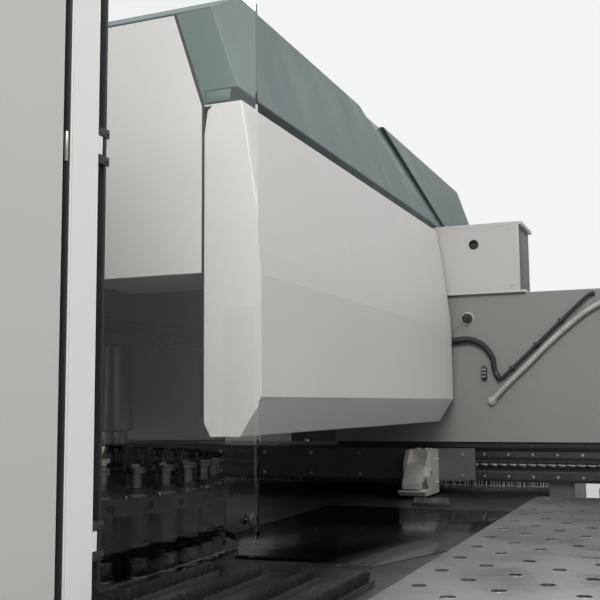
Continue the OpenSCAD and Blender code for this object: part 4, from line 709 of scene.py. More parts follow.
def makeDiscs():
    middle, rim, lowTop = turret["middle"], turret["rim"], turret["lowTop"]
    bm = bmesh.new()
    for outward, size in ((-0.026, 0.006), (0.026, 0.005)):
        capScrews(bm, [(x, y, rim) for x, y in atStations(outward, 0.5)], up, size)
    for x, y in atStations():
        # spring ring round the collar
        turned(bm, mm((23.2, 0), (26.2, 0), (26.2, 3.5), (25.2, 4.5), (23.2, 4.5)), (x, y, rim), sides=32)
    for x, y in atStations(-0.0262):
        # key in the collar
        turned(bm, mm((4, 0), (4, 12), (3.2, 13), (0, 13)), (x, y, rim), sides=12)
    for x, y in circle(12, 0.085, 0, middle):
        # hexagon bolt with its washer on the hub
        place = (x, y, turret["hubTop"])
        turned(bm, mm((12.6, -0.24), (12.6, 1.44), (12, 1.8)), place, sides=18)
        turned(bm, mm((11.04, 1.44, 6), (11.04, 8.16, 6), (9.6, 9.36), (0, 9.36)), place, sides=18)
    capScrews(bm, [(x, y, rim) for x, y in circle(16, 0.145, 0.5, middle)], up, 0.010)
    # the screws take the dark oiled steel: partly oil, partly painted shade for the turret zone
    newPiece("turretScrews", bm, "turret_upper", "zinc_steel", finish="oiled_steel")
    bm = bmesh.new()
    # raised rings on the disc
    for inner, outer in ((0.118, 0.128), (0.392, 0.400), (0.446, 0.452)):
        hoop(bm, [(inner, -0.0004), (inner, 0.0022), (inner + 0.001, 0.0030), (outer - 0.001, 0.0030), (outer, 0.0022),
                  (outer, -0.0004)], (*middle, rim), 128)
    newPiece("discRings", bm, "turret_upper", "turret_steel")
    bm = bmesh.new()
    # stripper rings under the guides
    for x, y in atStations():
        hoop(bm, mm((16.5, 1), (16.5, -1), (18, -1.8), (24.5, -1.8), (26.6, -0.4), (27.3, 1.2), (27.3, 5),
                    (26.6, 5.2)), (x, y, turret["guideLow"]))
    newPiece("stripperRings", bm, "turret_upper", "tool_steel", (), 30)
    bm = bmesh.new()
    for outward in (-0.024, 0.024):
        capScrews(bm, [(x, y, lowTop) for x, y in atStations(outward, 0.5)], up, 0.006)
    for x, y in atStations():
        hoop(bm, mm((27.2, 4), (29.2, 4), (30.2, 5.2), (30.2, 7.8), (29.2, 9), (27.2, 9)), (x, y, lowTop))
    # the clamps take the dark oiled steel: partly oil, partly painted shade for the turret zone
    newPiece("dieClamps", bm, "turret_lower", "zinc_steel", finish="oiled_steel")


makeTools()
makeDiscs()
print("turret dressed")

# ram cylinder: flange screws, bands and oil ports
cylinder = {"y": -0.300, "top": 1.809, "bands": (1.50, 1.78), "ports": (1.540, 1.700), "portX": 0.100}


def makeCylinder():
    bm = bmesh.new()
    y = cylinder["y"]
    capScrews(bm, [(*spot, cylinder["top"] - 0.0135) for spot in circle(8, 0.080, 0, (0, y))], up, 0.012, 0.012)
    for z in spread(*cylinder["bands"], 5):
        turned(bm, mm((99.5, -4), (103.5, -3), (103.5, 3), (99.5, 4)), (0, y, z), sides=64)
    # the bands take the dark oiled steel: partly oil, partly painted shade on the cylinder
    newPiece("cylinderBands", bm, "root", "zinc_steel", finish="oiled_steel")
    bm = bmesh.new()
    for z in cylinder["ports"]:
        turned(bm, mm((26, -10, 6), (26, 10, 6), (20, 12), (20, 24), (15, 26), (15, 34), (0, 34)),
               (cylinder["portX"], y, z), (1, 0, 0))
    newPiece("cylinderPorts", bm, "root", "motor_paint")


makeCylinder()

# ball screws with their threads: name, node, body, axis, plain end, depth of the groove, finish
thread = {"lead": 0.032, "perTurn": 14, "sides": 16}
# the cross screw behind the turret takes the dark oiled steel: partly oil, partly painted shade
ballScrews = (("xThread", "x_screw", "x_spindle", 0, 0.05, 0.16, "oiled_steel"),
              ("yThread_r", "y_screw_right", "y_screw_r", 1, 0.06, 0.14, None),
              ("yThread_l", "y_screw_left", "y_screw_l", 1, 0.06, 0.14, None))


def threadedRod(bm, start, end, radius, plain, groove):
    # plain ends and one round-bottomed groove that climbs by the lead
    ahead, length = (end - start).normalized(), (end - start).length
    lift = Vector(up)
    across = ahead.cross(lift)
    lead, sides = thread["lead"], thread["sides"]
    steps = int(length / lead * thread["perTurn"])
    rings = []
    for along in (i / steps * length for i in range(steps + 1)):
        depth = groove if plain < along < length - plain else 0.0
        ring = []
        for k, (x, y) in enumerate(circle(sides, radius)):
            phase = (along / lead - k / sides) % 1.0
            dip = depth * max(0.0, cos(2 * pi * (phase - 0.5))) ** 0.6
            ring.append(bm.verts.new(start + ahead * along + (1 - dip) * (x * lift + y * across)))
        rings.append(ring)
    skin(bm, rings)
    bm.faces.new(rings[0])
    bm.faces.new(rings[-1])


def makeBallScrews():
    for name, node, body, axis, plain, groove, finish in ballScrews:
        low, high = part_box(node)
        start, end = (low + high) / 2, (low + high) / 2
        start[axis], end[axis] = low[axis], high[axis]
        bm = bmesh.new()
        threadedRod(bm, start, end, (high.z - low.z) / 2, plain, groove)
        newPiece(name, bm, body, "ground_steel", (node,), finish=finish)


def makeBeamDetail():
    bm = bmesh.new()
    capScrews(bm, grid(spread(-2.10, 2.10, 53), (0.718,), (1.005, 1.078)), toFront, 0.0055, 0.0016)
    capScrews(bm, grid((-1.160, -1.040, 1.040, 1.160), spread(0.79, 1.09, 4), (1.100,)), up, 0.014)
    capScrews(bm, grid(spread(-2.06, 2.06, 9), (0.775, 1.105), (1.100,)), up, 0.010)
    newPiece("beamScrews", bm, "beam", "zinc_steel")
    bm = bmesh.new()
    capScrews(bm, grid((-1.069, -1.051, 1.051, 1.069), spread(-1.40, 1.70, 52), (0.812,)), up, 0.0055, 0.0016)
    newPiece("railScrews", bm, "root", "zinc_steel")


makeBallScrews()
makeBeamDetail()

# motors: fins on the four long faces, end bell with its screws; margins from the node's box to the motor's body
motors = (("x_motor", "xMotor", "beam", (0.026, 0.004, 0.004), (0.0024, 0.004, 0.004), 0),
          ("turret_motor", "turretMotor", "root", (0.005, 0.005, 0.032), (0.005, 0.005, 0), 2))
fin = {"count": 7, "reach": 0.0035, "width": 0.0032}


def makeMotor(node, name, body, lowMargin, highMargin, axis):
    low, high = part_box(node)
    low, high = low + Vector(lowMargin), high - Vector(highMargin)
    others = [i for i in range(3) if i != axis]
    bm = bmesh.new()
    for face, other in (others, others[::-1]):
        for edge, way in ((low[face], -1), (high[face], 1)):
            for share in spread(0.16, 0.84, fin["count"]):
                first, last = low.copy(), high.copy()
                middle = low[other] + (high[other] - low[other]) * share
                first[other], last[other] = middle - fin["width"] / 2, middle + fin["width"] / 2
                first[face], last[face] = edge - way * 0.002, edge + way * fin["reach"]
                bar(bm, first, last, fin["width"] * 0.25)
    end, way = (low + high) / 2, Vector((0, 0, 0))
    end[axis], way[axis] = high[axis], 1
    half = min(high[i] - low[i] for i in others) / 2
    turned(bm, [(half * 0.80, -0.001), (half * 0.80, 0.0012), (half * 0.74, 0.0022), (half * 0.30, 0.0022),
                (half * 0.26, 0.0008), (0, 0.0008)], end, way, 48)
    newPiece(name + "Fins", bm, body, "motor_paint")
    bm = bmesh.new()
    for s, t in ((-1, -1), (-1, 1), (1, -1), (1, 1)):
        spot = end.copy()
        spot[others[0]] += s * half * 0.80
        spot[others[1]] += t * half * 0.80
        capScrews(bm, [spot], way, 0.006, 0.004)
    newPiece(name + "Screws", bm, body, "zinc_steel")


for motorRow in motors:
    makeMotor(*motorRow)
print("beam and motors dressed")

# toothed belts: outside as the solid's, teeth inside
belts = {"big": ((0.0, -0.800), 0.160), "small": ((-0.120, -1.400), 0.056), "heights": (1.200, 0.830), "wide": 0.020,
         "play": 0.0004, "thick": 0.008, "back": 0.0024, "pitch": 0.010, "tooth": 0.0022, "toothHalf": 0.0014}


def beltPath(extra):
    # the run round both pulleys, that much outside of them
    (ax, ay), ra = belts["big"]
    (bx, by), rb = belts["small"]
    way = atan2(by - ay, bx - ax)
    lift = acos((ra - rb) / hypot(bx - ax, by - ay))

    def arc(x, y, r, start, turn, steps):
        angles = [start + turn * k / steps for k in range(steps + 1)]
        return [(x + (r + extra) * cos(a), y + (r + extra) * sin(a)) for a in angles]

    def straight(first, last):
        (x0, y0), (x1, y1) = first, last
        return [(x0 + (x1 - x0) * k / 60, y0 + (y1 - y0) * k / 60) for k in range(1, 60)]

    big = arc(ax, ay, ra, way + lift, 2 * pi - 2 * lift, 96)
    small = arc(bx, by, rb, way - lift, 2 * lift, 32)
    return big + straight(big[-1], small[0]) + small + straight(small[-1], big[0])


def makeBelts():
    bm = bmesh.new()
    inside, outside = (beltPath(belts["play"] + extra) for extra in (belts["back"], belts["thick"]))
    for z in belts["heights"]:
        low, high = z + 0.0004, z + belts["wide"] - 0.0004
        skin(bm, [[bm.verts.new((x, y, level)) for x, y in path]
                  for path, level in ((inside, low), (inside, high), (outside, high), (outside, low))], True)
        # teeth stand inwards on the inner face
        done = 0.0
        for a, b in zip(map(Vector, inside), map(Vector, inside[1:] + inside[:1])):
            step = (b - a).length
            done += step
            if done >= belts["pitch"] and step > 1e-6:
                done = 0.0
                along = (b - a) / step
                foot, half = along * belts["tooth"], along * belts["toothHalf"]
                tip = a + Vector((-along.y, along.x)) * belts["tooth"]
                slab(bm, [tuple(p) for p in (a - foot, a + foot, tip + half, tip - half)], 2, low, high)
    newPiece("toothedBelts", bm, "root", "black_rubber", ("drive_belts",))


makeBelts()

# clamps: screws, serrated jaw plates, pivot ends
clamp = {"x": 0.610, "half": 0.045, "back": 0.690, "top": 1.096, "pivot": (0.590, 1.030), "tip": 0.500, "pass": 0.968,
         "mouth": 0.006, "jawHalf": 0.0275}


def jawTeeth(bm, x, half, foot, tip, count, pitch):
    # a row of file-cut ridges along the jaw's front
    for y in (clamp["tip"] + 0.0012 + k * pitch for k in range(count)):
        slab(bm, [(y, foot), (y + 0.003, foot), (y + 0.0015, tip)], 0, x - half, x + half)


def makeClamps():
    half, screwY = clamp["half"], clamp["back"] - 0.022
    bodies, lower, upper = bmesh.new(), bmesh.new(), {name: bmesh.new() for _, name in bothSides}
    low = clamp["pass"] + clamp["mouth"]
    for side, name in bothSides:
        x = side * clamp["x"]
        capScrews(bodies, grid((x - 0.025, x + 0.025), (clamp["back"] - 0.028,), (clamp["top"],)), up, 0.008, 0.0038)
        for s in (-1, 1):
            turned(bodies, mm((11, -0.5), (11, 0.8), (9.6, 2.2), (5, 2.2), (4.5, 1.2), (0, 1.2)),
                   (x + s * half, *clamp["pivot"]), (s, 0, 0), 28)
            capScrews(bodies, grid((x + s * half,), (screwY,), (1.062, 0.985)), (s, 0, 0), 0.006)
        jawTeeth(lower, x, half - 0.003, clamp["pass"] - 0.0012, clamp["pass"] + 0.0002, 11, 0.0034)
        jawTeeth(upper[name], x, clamp["jawHalf"], low + 0.0010, low - 0.0003, 5, 0.0036)
        places = grid((x - 0.015, x + 0.015), (clamp["tip"] + 0.0188,), (low + 0.0342,))
        capScrews(upper[name], places, (0, -0.75, 0.66), 0.006, 0.004)
    newPiece("clampScrews", bodies, "carriage", "zinc_steel")
    newPiece("lowerJawTeeth", lower, "carriage", "clamp_steel", (), 20)
    for name, bm in upper.items():
        newPiece("jawTeeth_" + name, bm, "jaw_" + name, "clamp_steel", (), 20)
    bm = bmesh.new()
    capScrews(bm, grid(spread(-0.74, 0.74, 9), (0.690,), (1.006, 1.078)), toFront, 0.008, 0.005)
    newPiece("carriageScrews", bm, "carriage", "zinc_steel")


makeClamps()
print("clamps dressed")

# wing tables: countersunk rims in the holes, rub rings round some, screws along the edges
wing = {"top": 0.965, "inner": 1.015, "outer": 2.450, "front": -1.350, "back": 0.470, "x0": 1.056, "y0": -1.255,
        "pitchX": 0.063, "pitchY": 0.145, "margin": 0.060, "radius": 0.011, "sink": 0.0022,
        "slotX": (1.265, 1.745), "slotY": (-0.675, -0.575), "seed": 5}


def wingHoles():
    columns, rows = (int((high - low - wing["margin"]) / pitch + 1e-6) for low, high, pitch in (
        (wing["inner"], wing["outer"], wing["pitchX"]), (wing["front"], wing["back"], wing["pitchY"])))
    (left, right), (near, far) = wing["slotX"], wing["slotY"]
    for i in range(columns):
        for k in range(rows):
            x = wing["x0"] + i * wing["pitchX"]
            y = wing["y0"] + k * wing["pitchY"] + (wing["pitchY"] / 2 if i % 2 == 0 else 0)
            # the two slots leave no room for holes
            if not (left - 0.02 <= x <= right + 0.02 and near - 0.03 <= y <= far + 0.03):
                yield x, y


def flatRing(bm, place, inner, outer, tall):
    # a flat ring lying on a face, with a small slope at both edges
    hoop(bm, [(inner, -0.0008), (inner + 0.0002, tall * 0.6), (inner + 0.0005, tall), (outer - 0.0003, tall),
              (outer, -0.0002)], place, 20)


def makeWings():
    for side, name in bothSides:
        rims, sinks, screws = bmesh.new(), bmesh.new(), bmesh.new()
        dice = random.Random(wing["seed"])
        sunk = wing["radius"] + wing["sink"]
        for x, y in wingHoles():
            worn = dice.random()
            place = (side * x, y, wing["top"])
            flatRing(sinks, place, wing["radius"], sunk, 0.00018)
            if worn < 0.3:
                flatRing(rims, place, sunk, sunk + (0.0024 if worn < 0.1 else 0.0008), 0.00022)
        newPiece("holeRims_" + name, rims, "beam", "zinc_steel", (), 40)
        newPiece("holeSinks_" + name, sinks, "beam", "zinc_steel", (), 40, "oiled_steel")
        for x, y, z in grid(spread(wing["inner"] + 0.024, wing["outer"] - 0.024, 12),
                            (wing["front"] + 0.014, wing["back"] - 0.014), (wing["top"],)):
            turned(screws, mm((6.4, -0.4), (6.4, 0.22), (5.5, 0.3), (3, 0.3, 6), (2.9, -1.5, 6), (0, -1.5)),
                   (side * x, y, z))
        newPiece("tableScrews_" + name, screws, "beam", "zinc_steel")


makeWings()
print("tables dressed")

# rows of screws along the covers' edges: first, last, count and the face's direction, here for the right side
coverRows = (
    ((0.7200, -2.500, 0.120), (0.7200, -2.500, 2.040), 8, (1, 0, 0)),
    ((0.60, -2.530, 0.110), (0.60, -2.530, 2.040), 8, (0, -1, 0)),
    ((0.05, -2.530, 0.110), (0.55, -2.530, 0.110), 4, (0, -1, 0)),
    ((0.7240, -2.45, 2.085), (0.7240, -1.56, 2.085), 5, (1, 0, 0)),
    ((0.4500, 1.640, 0.120), (0.4500, 1.640, 1.970), 8, (1, 0, 0)),
    ((0.38, 2.5269, 0.120), (0.38, 2.5269, 1.960), 8, (0, 1, 0)),
    ((0.36, 0.655, 1.790), (0.60, 0.655, 1.790), 3, (0, 1, 0)),
    ((1.600, 0.72, 1.150), (1.600, 0.90, 1.150), 2, (1, 0, 0)),
    ((1.600, 0.72, 1.592), (1.600, 0.90, 1.592), 2, (1, 0, 0)),
    ((0.34, 0.930, 1.150), (1.56, 0.930, 1.150), 8, (0, 1, 0)),
    ((0.34, 0.930, 1.602), (1.56, 0.930, 1.602), 8, (0, 1, 0)),
)


def makeCoverScrews():
    bm = bmesh.new()
    for side, _ in bothSides:
        for first, last, count, (ax, ay, az) in coverRows:
            for x, y, z in rowOf(first, last, count):
                turned(bm, mm((6.2, -0.6), (6.2, 0.6), (5.4, 2.2), (3.4, 3), (2.6, 3.1, 6), (2.5, 1.4, 6), (0, 1.3)),
                       (side * x, y, z), (side * ax, ay, az), 18)
    newPiece("coverScrews", bm, "root", "zinc_steel")


makeCoverScrews()

# riveted strips and rubber seals on the front cover's edge, with small hinges on the strips
strip = {"x": (0.7112, 0.7196), "y": (-1.5042, -1.4995), "z": (0.062, 2.098)}
rubber = {"x": (0.7072, 0.7202), "y": (-1.5082, -1.5048)}
hinge = {"heights": (0.420, 1.595, 1.980), "half": 0.020, "pin": (0.7162, -1.5068), "leafX": (0.7165, 0.7188),
         "leafY": (-1.5066, -1.4966)}


def sideBar(bm, side, xs, ys, zs, edge):
    # a bar from its spans, mirrored for the left side
    bar(bm, (side * xs[0], ys[0], zs[0]), (side * xs[1], ys[1], zs[1]), edge)


def makeStrips():
    strips, rubbers, hinges = bmesh.new(), bmesh.new(), bmesh.new()
    half, (pinX, pinY) = hinge["half"], hinge["pin"]
    for side, _ in bothSides:
        sideBar(strips, side, strip["x"], strip["y"], strip["z"], 0.0008)
        places = grid((side * strip["x"][1],), (sum(strip["y"]) / 2,), spread(0.20, 1.96, 7))
        rivets(strips, places, (side, 0, 0), 0.0014)
        sideBar(rubbers, side, rubber["x"], rubber["y"], strip["z"], 0.0004)
        for z in hinge["heights"]:
            turned(hinges, [(0.0030, -half), (0.0036, 0.001 - half), (0.0036, half - 0.001), (0.0030, half), (0, half)],
                   (side * pinX, pinY, z), sides=16)
            sideBar(hinges, side, hinge["leafX"], hinge["leafY"], (z - half, z + half), 0.0004)
            rivets(hinges, grid((side * hinge["leafX"][1],), (-1.5005,), (z - 0.012, z + 0.012)), (side, 0, 0), 0.0016)
    newPiece("postStrips", strips, "root", "post_paint")
    newPiece("coverSeals", rubbers, "root", "black_rubber")
    newPiece("stripHinges", hinges, "root", "zinc_steel")


makeStrips()

# comb seals under the housings and a brush curtain under the crossbeam, both dark and closing gaps: partly real seals,
# partly dark fill standing in for the shade there
seals = {"x": (0.2850, 1.5950), "y": (0.7000, 0.9200), "z": (1.1015, 1.1202), "pitch": 0.004}
curtain = {"x": 0.992, "y": 1.110, "z": (0.9403, 0.9855), "pitch": 0.0045, "seed": 17}


def makeSeals():
    (x0, x1), (z0, z1), pitch = seals["x"], seals["z"], seals["pitch"]
    bm = bmesh.new()
    for side, _ in bothSides:
        for y in seals["y"]:
            sideBar(bm, side, seals["x"], (y - 0.002, y + 0.002), (z1 - 0.004, z1 + 0.003), 0.0006)
            for k in range(int((x1 - x0) / pitch)):
                x = side * (x0 + pitch * (k + 0.5))
                bar(bm, (x - 0.0017, y - 0.0014, z0), (x + 0.0017, y + 0.0014, z1 - 0.003))
    newPiece("housingSealsShadeFill", bm, "root", "black_rubber")


def makeCurtain():
    x, y, (z0, z1) = curtain["x"], curtain["y"], curtain["z"]
    bm = bmesh.new()
    bar(bm, (-x, y - 0.006, z1 - 0.010), (x, y + 0.006, z1), 0.0012)
    dice = random.Random(curtain["seed"])
    for top in rowOf((0.001 - x, y, z1 - 0.009), (x - 0.001, y, z1 - 0.009), int(2 * x / curtain["pitch"]) + 1):
        away = [dice.uniform(-0.001, 0.001), dice.uniform(-0.003, 0.003), dice.uniform(0, 0.0008)]
        strand(bm, Vector((top.x, y, z0)) + Vector(away), top, 0.0024)
    newPiece("beamCurtainShadeFill", bm, "beam", "bristle")


makeSeals()
makeCurtain()

# joint between nose cover and cap: rubber, folded front edge and lip, by name, slot, front, back and outline
joints = (
    ("noseSeals", "black_rubber", -0.8996, -0.8836,
     ((0.5882, 1.5100), (0.5928, 1.5100), (0.5928, 1.8475), (0.5272, 2.0490), (0.5222, 2.0465), (0.5882, 1.8448))),
    ("capEdges", "teal_paint", -0.8996, -0.8836,
     ((0.5936, 1.8485), (0.6000, 1.8485), (0.5950, 1.8745), (0.5365, 2.0470), (0.5280, 2.0495))),
    ("capLips", "teal_paint", -0.9008, -0.8986,
     ((0.5985, 1.8520), (0.6500, 1.8520), (0.6535, 1.8742), (0.5985, 1.8742))),
)


def makeJoint(name, slot, front, back, outline):
    bm = bmesh.new()
    for side, _ in bothSides:
        slab(bm, [(side * x, z) for x, z in outline], 1, front, back, 0.0003)
    newPiece(name, bm, "root", slot)


for jointRow in joints:
    makeJoint(*jointRow)

# frame: weld beads at the feet, and anchor nuts
feet = {"side": 0.280, "top": 0.040, "half": 0.140, "anchorX": 0.380, "anchorY": 2.300, "bead": 0.006}


def weldBead(bm, start, end, seed):
    # an uneven bead with its ripple
    steps = max(6, int((end - start).length / 0.006))
    dice = random.Random(seed)
    sizes = [feet["bead"] * (0.86 + 0.14 * cos(2.4 * k) + dice.uniform(-0.05, 0.05)) for k in range(steps + 1)]
    tube(bm, rowOf(start, end, steps + 1), lambda u: sizes[min(steps, int(round(u * steps)))], 8)


def makeFeet():
    bm = bmesh.new()
    far, ends = feet["anchorY"], Vector((0, feet["half"], 0))
    for seed, (x, y) in enumerate(((1, -far), (1, far), (-1, -far), (-1, far)), 1):
        middle = Vector((x * feet["side"], y, feet["top"]))
        weldBead(bm, middle - ends, middle + ends, seed)
    newPiece("frameWelds", bm, "root", "frame_paint")
    bm = bmesh.new()
    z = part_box("levelling_screws")[0].z + feet["top"]
    for place in grid((-feet["anchorX"], feet["anchorX"]), (-feet["anchorY"], feet["anchorY"]), (z,)):
        turned(bm, mm((30, 0), (30, 4), (27, 5), (20.5, 5, 6), (20.5, 21, 6), (18, 24), (11.8, 24), (11.8, 40),
                      (10, 43), (0, 43)), place, sides=36)
    newPiece("anchorNuts", bm, "root", "zinc_steel")


makeFeet()

# electric cabinet: filter grilles, main switch, lamps, rivets and lifting bolts
cabinet = {"low": (-0.950, 1.930, 0.100), "high": (-0.450, 2.530, 1.900), "door": -0.974, "doorY": (1.934, 2.511),
           "grilles": (0.180, 1.720), "switch": 1.480, "lamps": 1.600}


def makeCabinet():
    low, high = Vector(cabinet["low"]), Vector(cabinet["high"])
    x, mid, outward = cabinet["door"], sum(cabinet["doorY"]) / 2, (-1, 0, 0)
    bm = bmesh.new()
    # frames round the grilles and slanted slats in them
    for z in cabinet["grilles"]:
        frameBars(bm, 0, (mid - 0.110, z - 0.020, mid + 0.110, z + 0.100),
                  (mid - 0.100, z - 0.010, mid + 0.100, z + 0.090), x - 0.003, x + 0.001, 0.0008)
        for slat in (z + 0.018 * k for k in range(5)):
            slab(bm, [(x - 0.0040, slat - 0.003), (x - 0.0028, slat - 0.004), (x + 0.0022, slat + 0.009),
                      (x + 0.0008, slat + 0.0102)], 1, mid - 0.092, mid + 0.092)
    newPiece("cabinetGrilles", bm, "cab_door", "grey_plastic")
    bm = bmesh.new()
    z = cabinet["switch"]
    turned(bm, mm((40, -1), (40, 4), (37, 6), (30, 6), (28, 4), (0, 4)), (x, mid, z), outward, 48)
    slab(bm, roundedBox((mid - 0.0065, z - 0.026), (mid + 0.0065, z + 0.026), 0.006), 0, x - 0.020, x - 0.003, 0.002)
    newPiece("mainSwitch", bm, "cab_door", "red_plastic")
    collars, caps = bmesh.new(), bmesh.new()
    for place in grid((x,), spread(mid - 0.10, mid + 0.10, 3), (cabinet["lamps"],)):
        turned(collars, mm((15, -1), (15, 3), (13.5, 5), (11, 5)), place, outward, 32)
        turned(caps, mm((11, 1), (11, 7), (9, 10.5), (5, 12), (0, 12.4)), place, outward, 32)
    newPiece("lampCollars", collars, "cab_door", "black_plastic")
    newPiece("lampCaps", caps, "cab_door", "green_plastic")
    bm = bmesh.new()
    for y, way in ((high.y - 0.0023, 1), (low.y, -1)):
        rivets(bm, grid(spread(low.x + 0.05, high.x - 0.05, 4), (y,), (0.150, 1.850)), (0, way, 0), 0.004)
    for place in grid((low.x + 0.05, high.x - 0.05), (low.y + 0.06, high.y - 0.06), (high.z - 0.0005,)):
        turned(bm, mm((18, -0.6), (18, 3), (14, 4), (12, 4, 6), (12, 12, 6), (0, 12.5)), place)
    newPiece("cabinetScrews", bm, "root", "zinc_steel")


makeCabinet()

# pump unit: motor fins, fan cowl, level glass, filler, lid screws, pipe, valve block and gauge
pump = {"tank": (0.450, 1.760, 0.060), "tankHigh": (0.930, 2.400, 0.680), "motor": (0.740, 1.910, 2.230, 0.770, 0.080),
        "filler": (0.570, 1.880, 0.679), "valve": ((0.500, 1.980), (0.580, 2.080)), "gauge": (0.540, 2.030, 0.760),
        "pipe": ((0.560, 2.150, 0.700), (0.560, 2.150, 0.760), (0.570, 2.160, 0.800), (0.600, 2.190, 0.815),
                 (0.640, 2.200, 0.800), (0.655, 2.205, 0.750)),
        "flange": (0.560, 2.150, 0.680), "plugs": ((0.5795, 2.005, 0.722), (0.5795, 2.055, 0.722))}


def makePumpMotor():
    x, y0, y1, z, r = pump["motor"]
    toBack = (0, 1, 0)
    bm = bmesh.new()
    for c, s in circle(26, 1):
        if s >= -0.72:
            # fins get lower towards the top, where the terminal box stands
            near, far = r - 0.002, r + 0.009 * max(0, 1 - max(0, s) * 1.2)
            outline = [(x + reach * c - half * s, z + reach * s + half * c)
                       for reach, half in ((far, -0.0014), (near, -0.0022), (near, 0.0022), (far, 0.0014))]
            slab(bm, outline, 1, y0 + 0.020, y1 - 0.060)
    newPiece("pumpFins", bm, "root", "motor_paint")
    bm = bmesh.new()
    turned(bm, [(r - 0.001, -0.055), (r - 0.0004, -0.054), (r - 0.0004, -0.004), (r - 0.006, 0.0), (0.020, 0.0),
                (0.018, -0.002), (0, -0.002)], (x, y1, z), toBack, 64)
    for ring in range(3):
        for holeX, holeZ in circle(10 + 5 * ring, 0.030 + 0.015 * ring, 0, (x, z)):
            turned(bm, mm((4.2, -0.6), (4.2, 0.5), (3.4, 0.8), (0, -0.2)), (holeX, y1, holeZ), toBack, 10)
    newPiece("fanCowl", bm, "root", "motor_paint")


def makeTank():
    low, high = Vector(pump["tank"]), Vector(pump["tankHigh"])
    toRight = (1, 0, 0)
    bm = bmesh.new()
    outline = roundedBox((low.y + 0.060, 0.240), (low.y + 0.090, 0.480), 0.012)
    slab(bm, outline, 0, high.x - 0.004, high.x - 0.0002, 0.0006)
    for z in (0.250, 0.470):
        turned(bm, mm((13, -1), (13, 4), (10, 6), (0, 6)), (high.x - 0.0062, low.y + 0.075, z), toRight)
    newPiece("levelGlass", bm, "root", "black_plastic")
    bm = bmesh.new()
    x, y, z = pump["filler"]
    turned(bm, mm((46, 36), (52, 40), (52, 58), (48, 62), (20, 64), (0, 64)), (x, y, z), sides=40)
    for spot in circle(24, 0.0518, 0, (x, y)):
        turned(bm, mm((2, 41), (2, 56), (0, 57)), (*spot, z), sides=6)
    newPiece("fillerCap", bm, "root", "black_plastic")
    bm = bmesh.new()
    for xs, ys in ((spread(low.x + 0.03, high.x - 0.03, 5), (low.y + 0.02, high.y - 0.02)),
                   ((low.x + 0.03, high.x - 0.03), spread(low.y + 0.12, high.y - 0.12, 5))):
        capScrews(bm, grid(xs, ys, (high.z,)), up, 0.008, 0.006)
    newPiece("tankScrews", bm, "root", "zinc_steel")
    bm = bmesh.new()
    tube(bm, smoothRun(pump["pipe"], 10), 0.011, 16)
    turned(bm, mm((60, 0), (60, 12), (30, 16), (30, 30), (18, 34, 6), (18, 48, 6), (11, 50)), pump["flange"], sides=36)
    newPiece("pressurePipe", bm, "root", "zinc_steel")
    bm = bmesh.new()
    slab(bm, roundedBox(*pump["valve"], 0.006), 2, 0.679, 0.760, 0.002)
    for place in pump["plugs"]:
        turned(bm, mm((16, 0), (16, 30), (14, 34), (0, 34)), place, toRight, 28)
    newPiece("valveBlock", bm, "root", "motor_paint")
    bm = bmesh.new()
    x, y, z = pump["gauge"]
    turned(bm, mm((8, 0), (8, 20), (6, 22)), (x, y, z), sides=20)
    turned(bm, mm((0, -11), (26, -11), (29, -8), (29, 8), (31, 9), (31, 12), (27, 12), (26, 9), (0, 9)),
           (x, y, z + 0.048), toFront, 44)
    newPiece("pressureGauge", bm, "root", "zinc_steel")


makePumpMotor()
makeTank()

# pendant: screen glass with its bezel, keys, button collars and caps
pendant = {"low": 1.040, "high": 1.560, "button": 1.110, "stopX": 0.080, "startX": 0.190}


def makePendant():
    x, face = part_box("pendant_head")[0].x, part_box("pendant_head")[0].y + 0.004
    low, high, z = pendant["low"], pendant["high"], pendant["button"]
    stopX, startX = x + pendant["stopX"], x + pendant["startX"]
    bm = bmesh.new()
    glass = roundedBox((x + 0.046, low + 0.196), (x + 0.374, high - 0.077), 0.004)
    slab(bm, glass[::-1], 1, face + 0.0028, face + 0.0042, 0.0004)
    newPiece("screenGlass", bm, "head", "black_plastic")
    bm = bmesh.new()
    frameBars(bm, 1, (x + 0.030, low + 0.180, x + 0.390, high - 0.060),
              (x + 0.0398, low + 0.1895, x + 0.3802, high - 0.0698), face - 0.003, face + 0.001, 0.001)
    newPiece("screenBezel", bm, "head", "black_plastic")
    bm = bmesh.new()
    turned(bm, mm((26, -0.6), (26, 2), (23.5, 3.6), (20.5, 3.6), (20.5, -0.6)), (stopX, face, z), toFront, 40)
    turned(bm, mm((15, -0.6), (15, 2), (13.5, 3.2), (11.6, 3.2), (11.6, -0.6)), (startX, face, z), toFront, 40)
    newPiece("buttonCollars", bm, "head", "zinc_steel")
    bm = bmesh.new()
    for keyX in spread(x + 0.060, x + 0.360, 8):
        slab(bm, roundedBox((keyX - 0.014, low + 0.141), (keyX + 0.014, low + 0.159), 0.003, 3)[::-1], 1,
             face - 0.0028, face + 0.0006, 0.0008)
    newPiece("screenKeys", bm, "head", "grey_plastic")
    bm = bmesh.new()
    turned(bm, mm((14, -22), (14, 0.2), (18.5, 0.6), (20, 3), (20, 7), (18.5, 10.5), (15, 12.8), (8, 13.8), (0, 14)),
           (stopX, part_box("estop_button")[0].y + 0.014, z), toFront, 48)
    newPiece("stopCap", bm, "estop", "red_plastic", ("estop_button",))
    bm = bmesh.new()
    turned(bm, mm((9, -22), (9, 0.1), (11, 0.4), (11, 4.8), (10, 5.8), (6, 5.4), (0, 5)),
           (startX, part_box("start_button")[0].y + 0.006, z), toFront, 40)
    newPiece("startCap", bm, "start", "green_plastic", ("start_button",))


makePendant()
print("other units dressed")

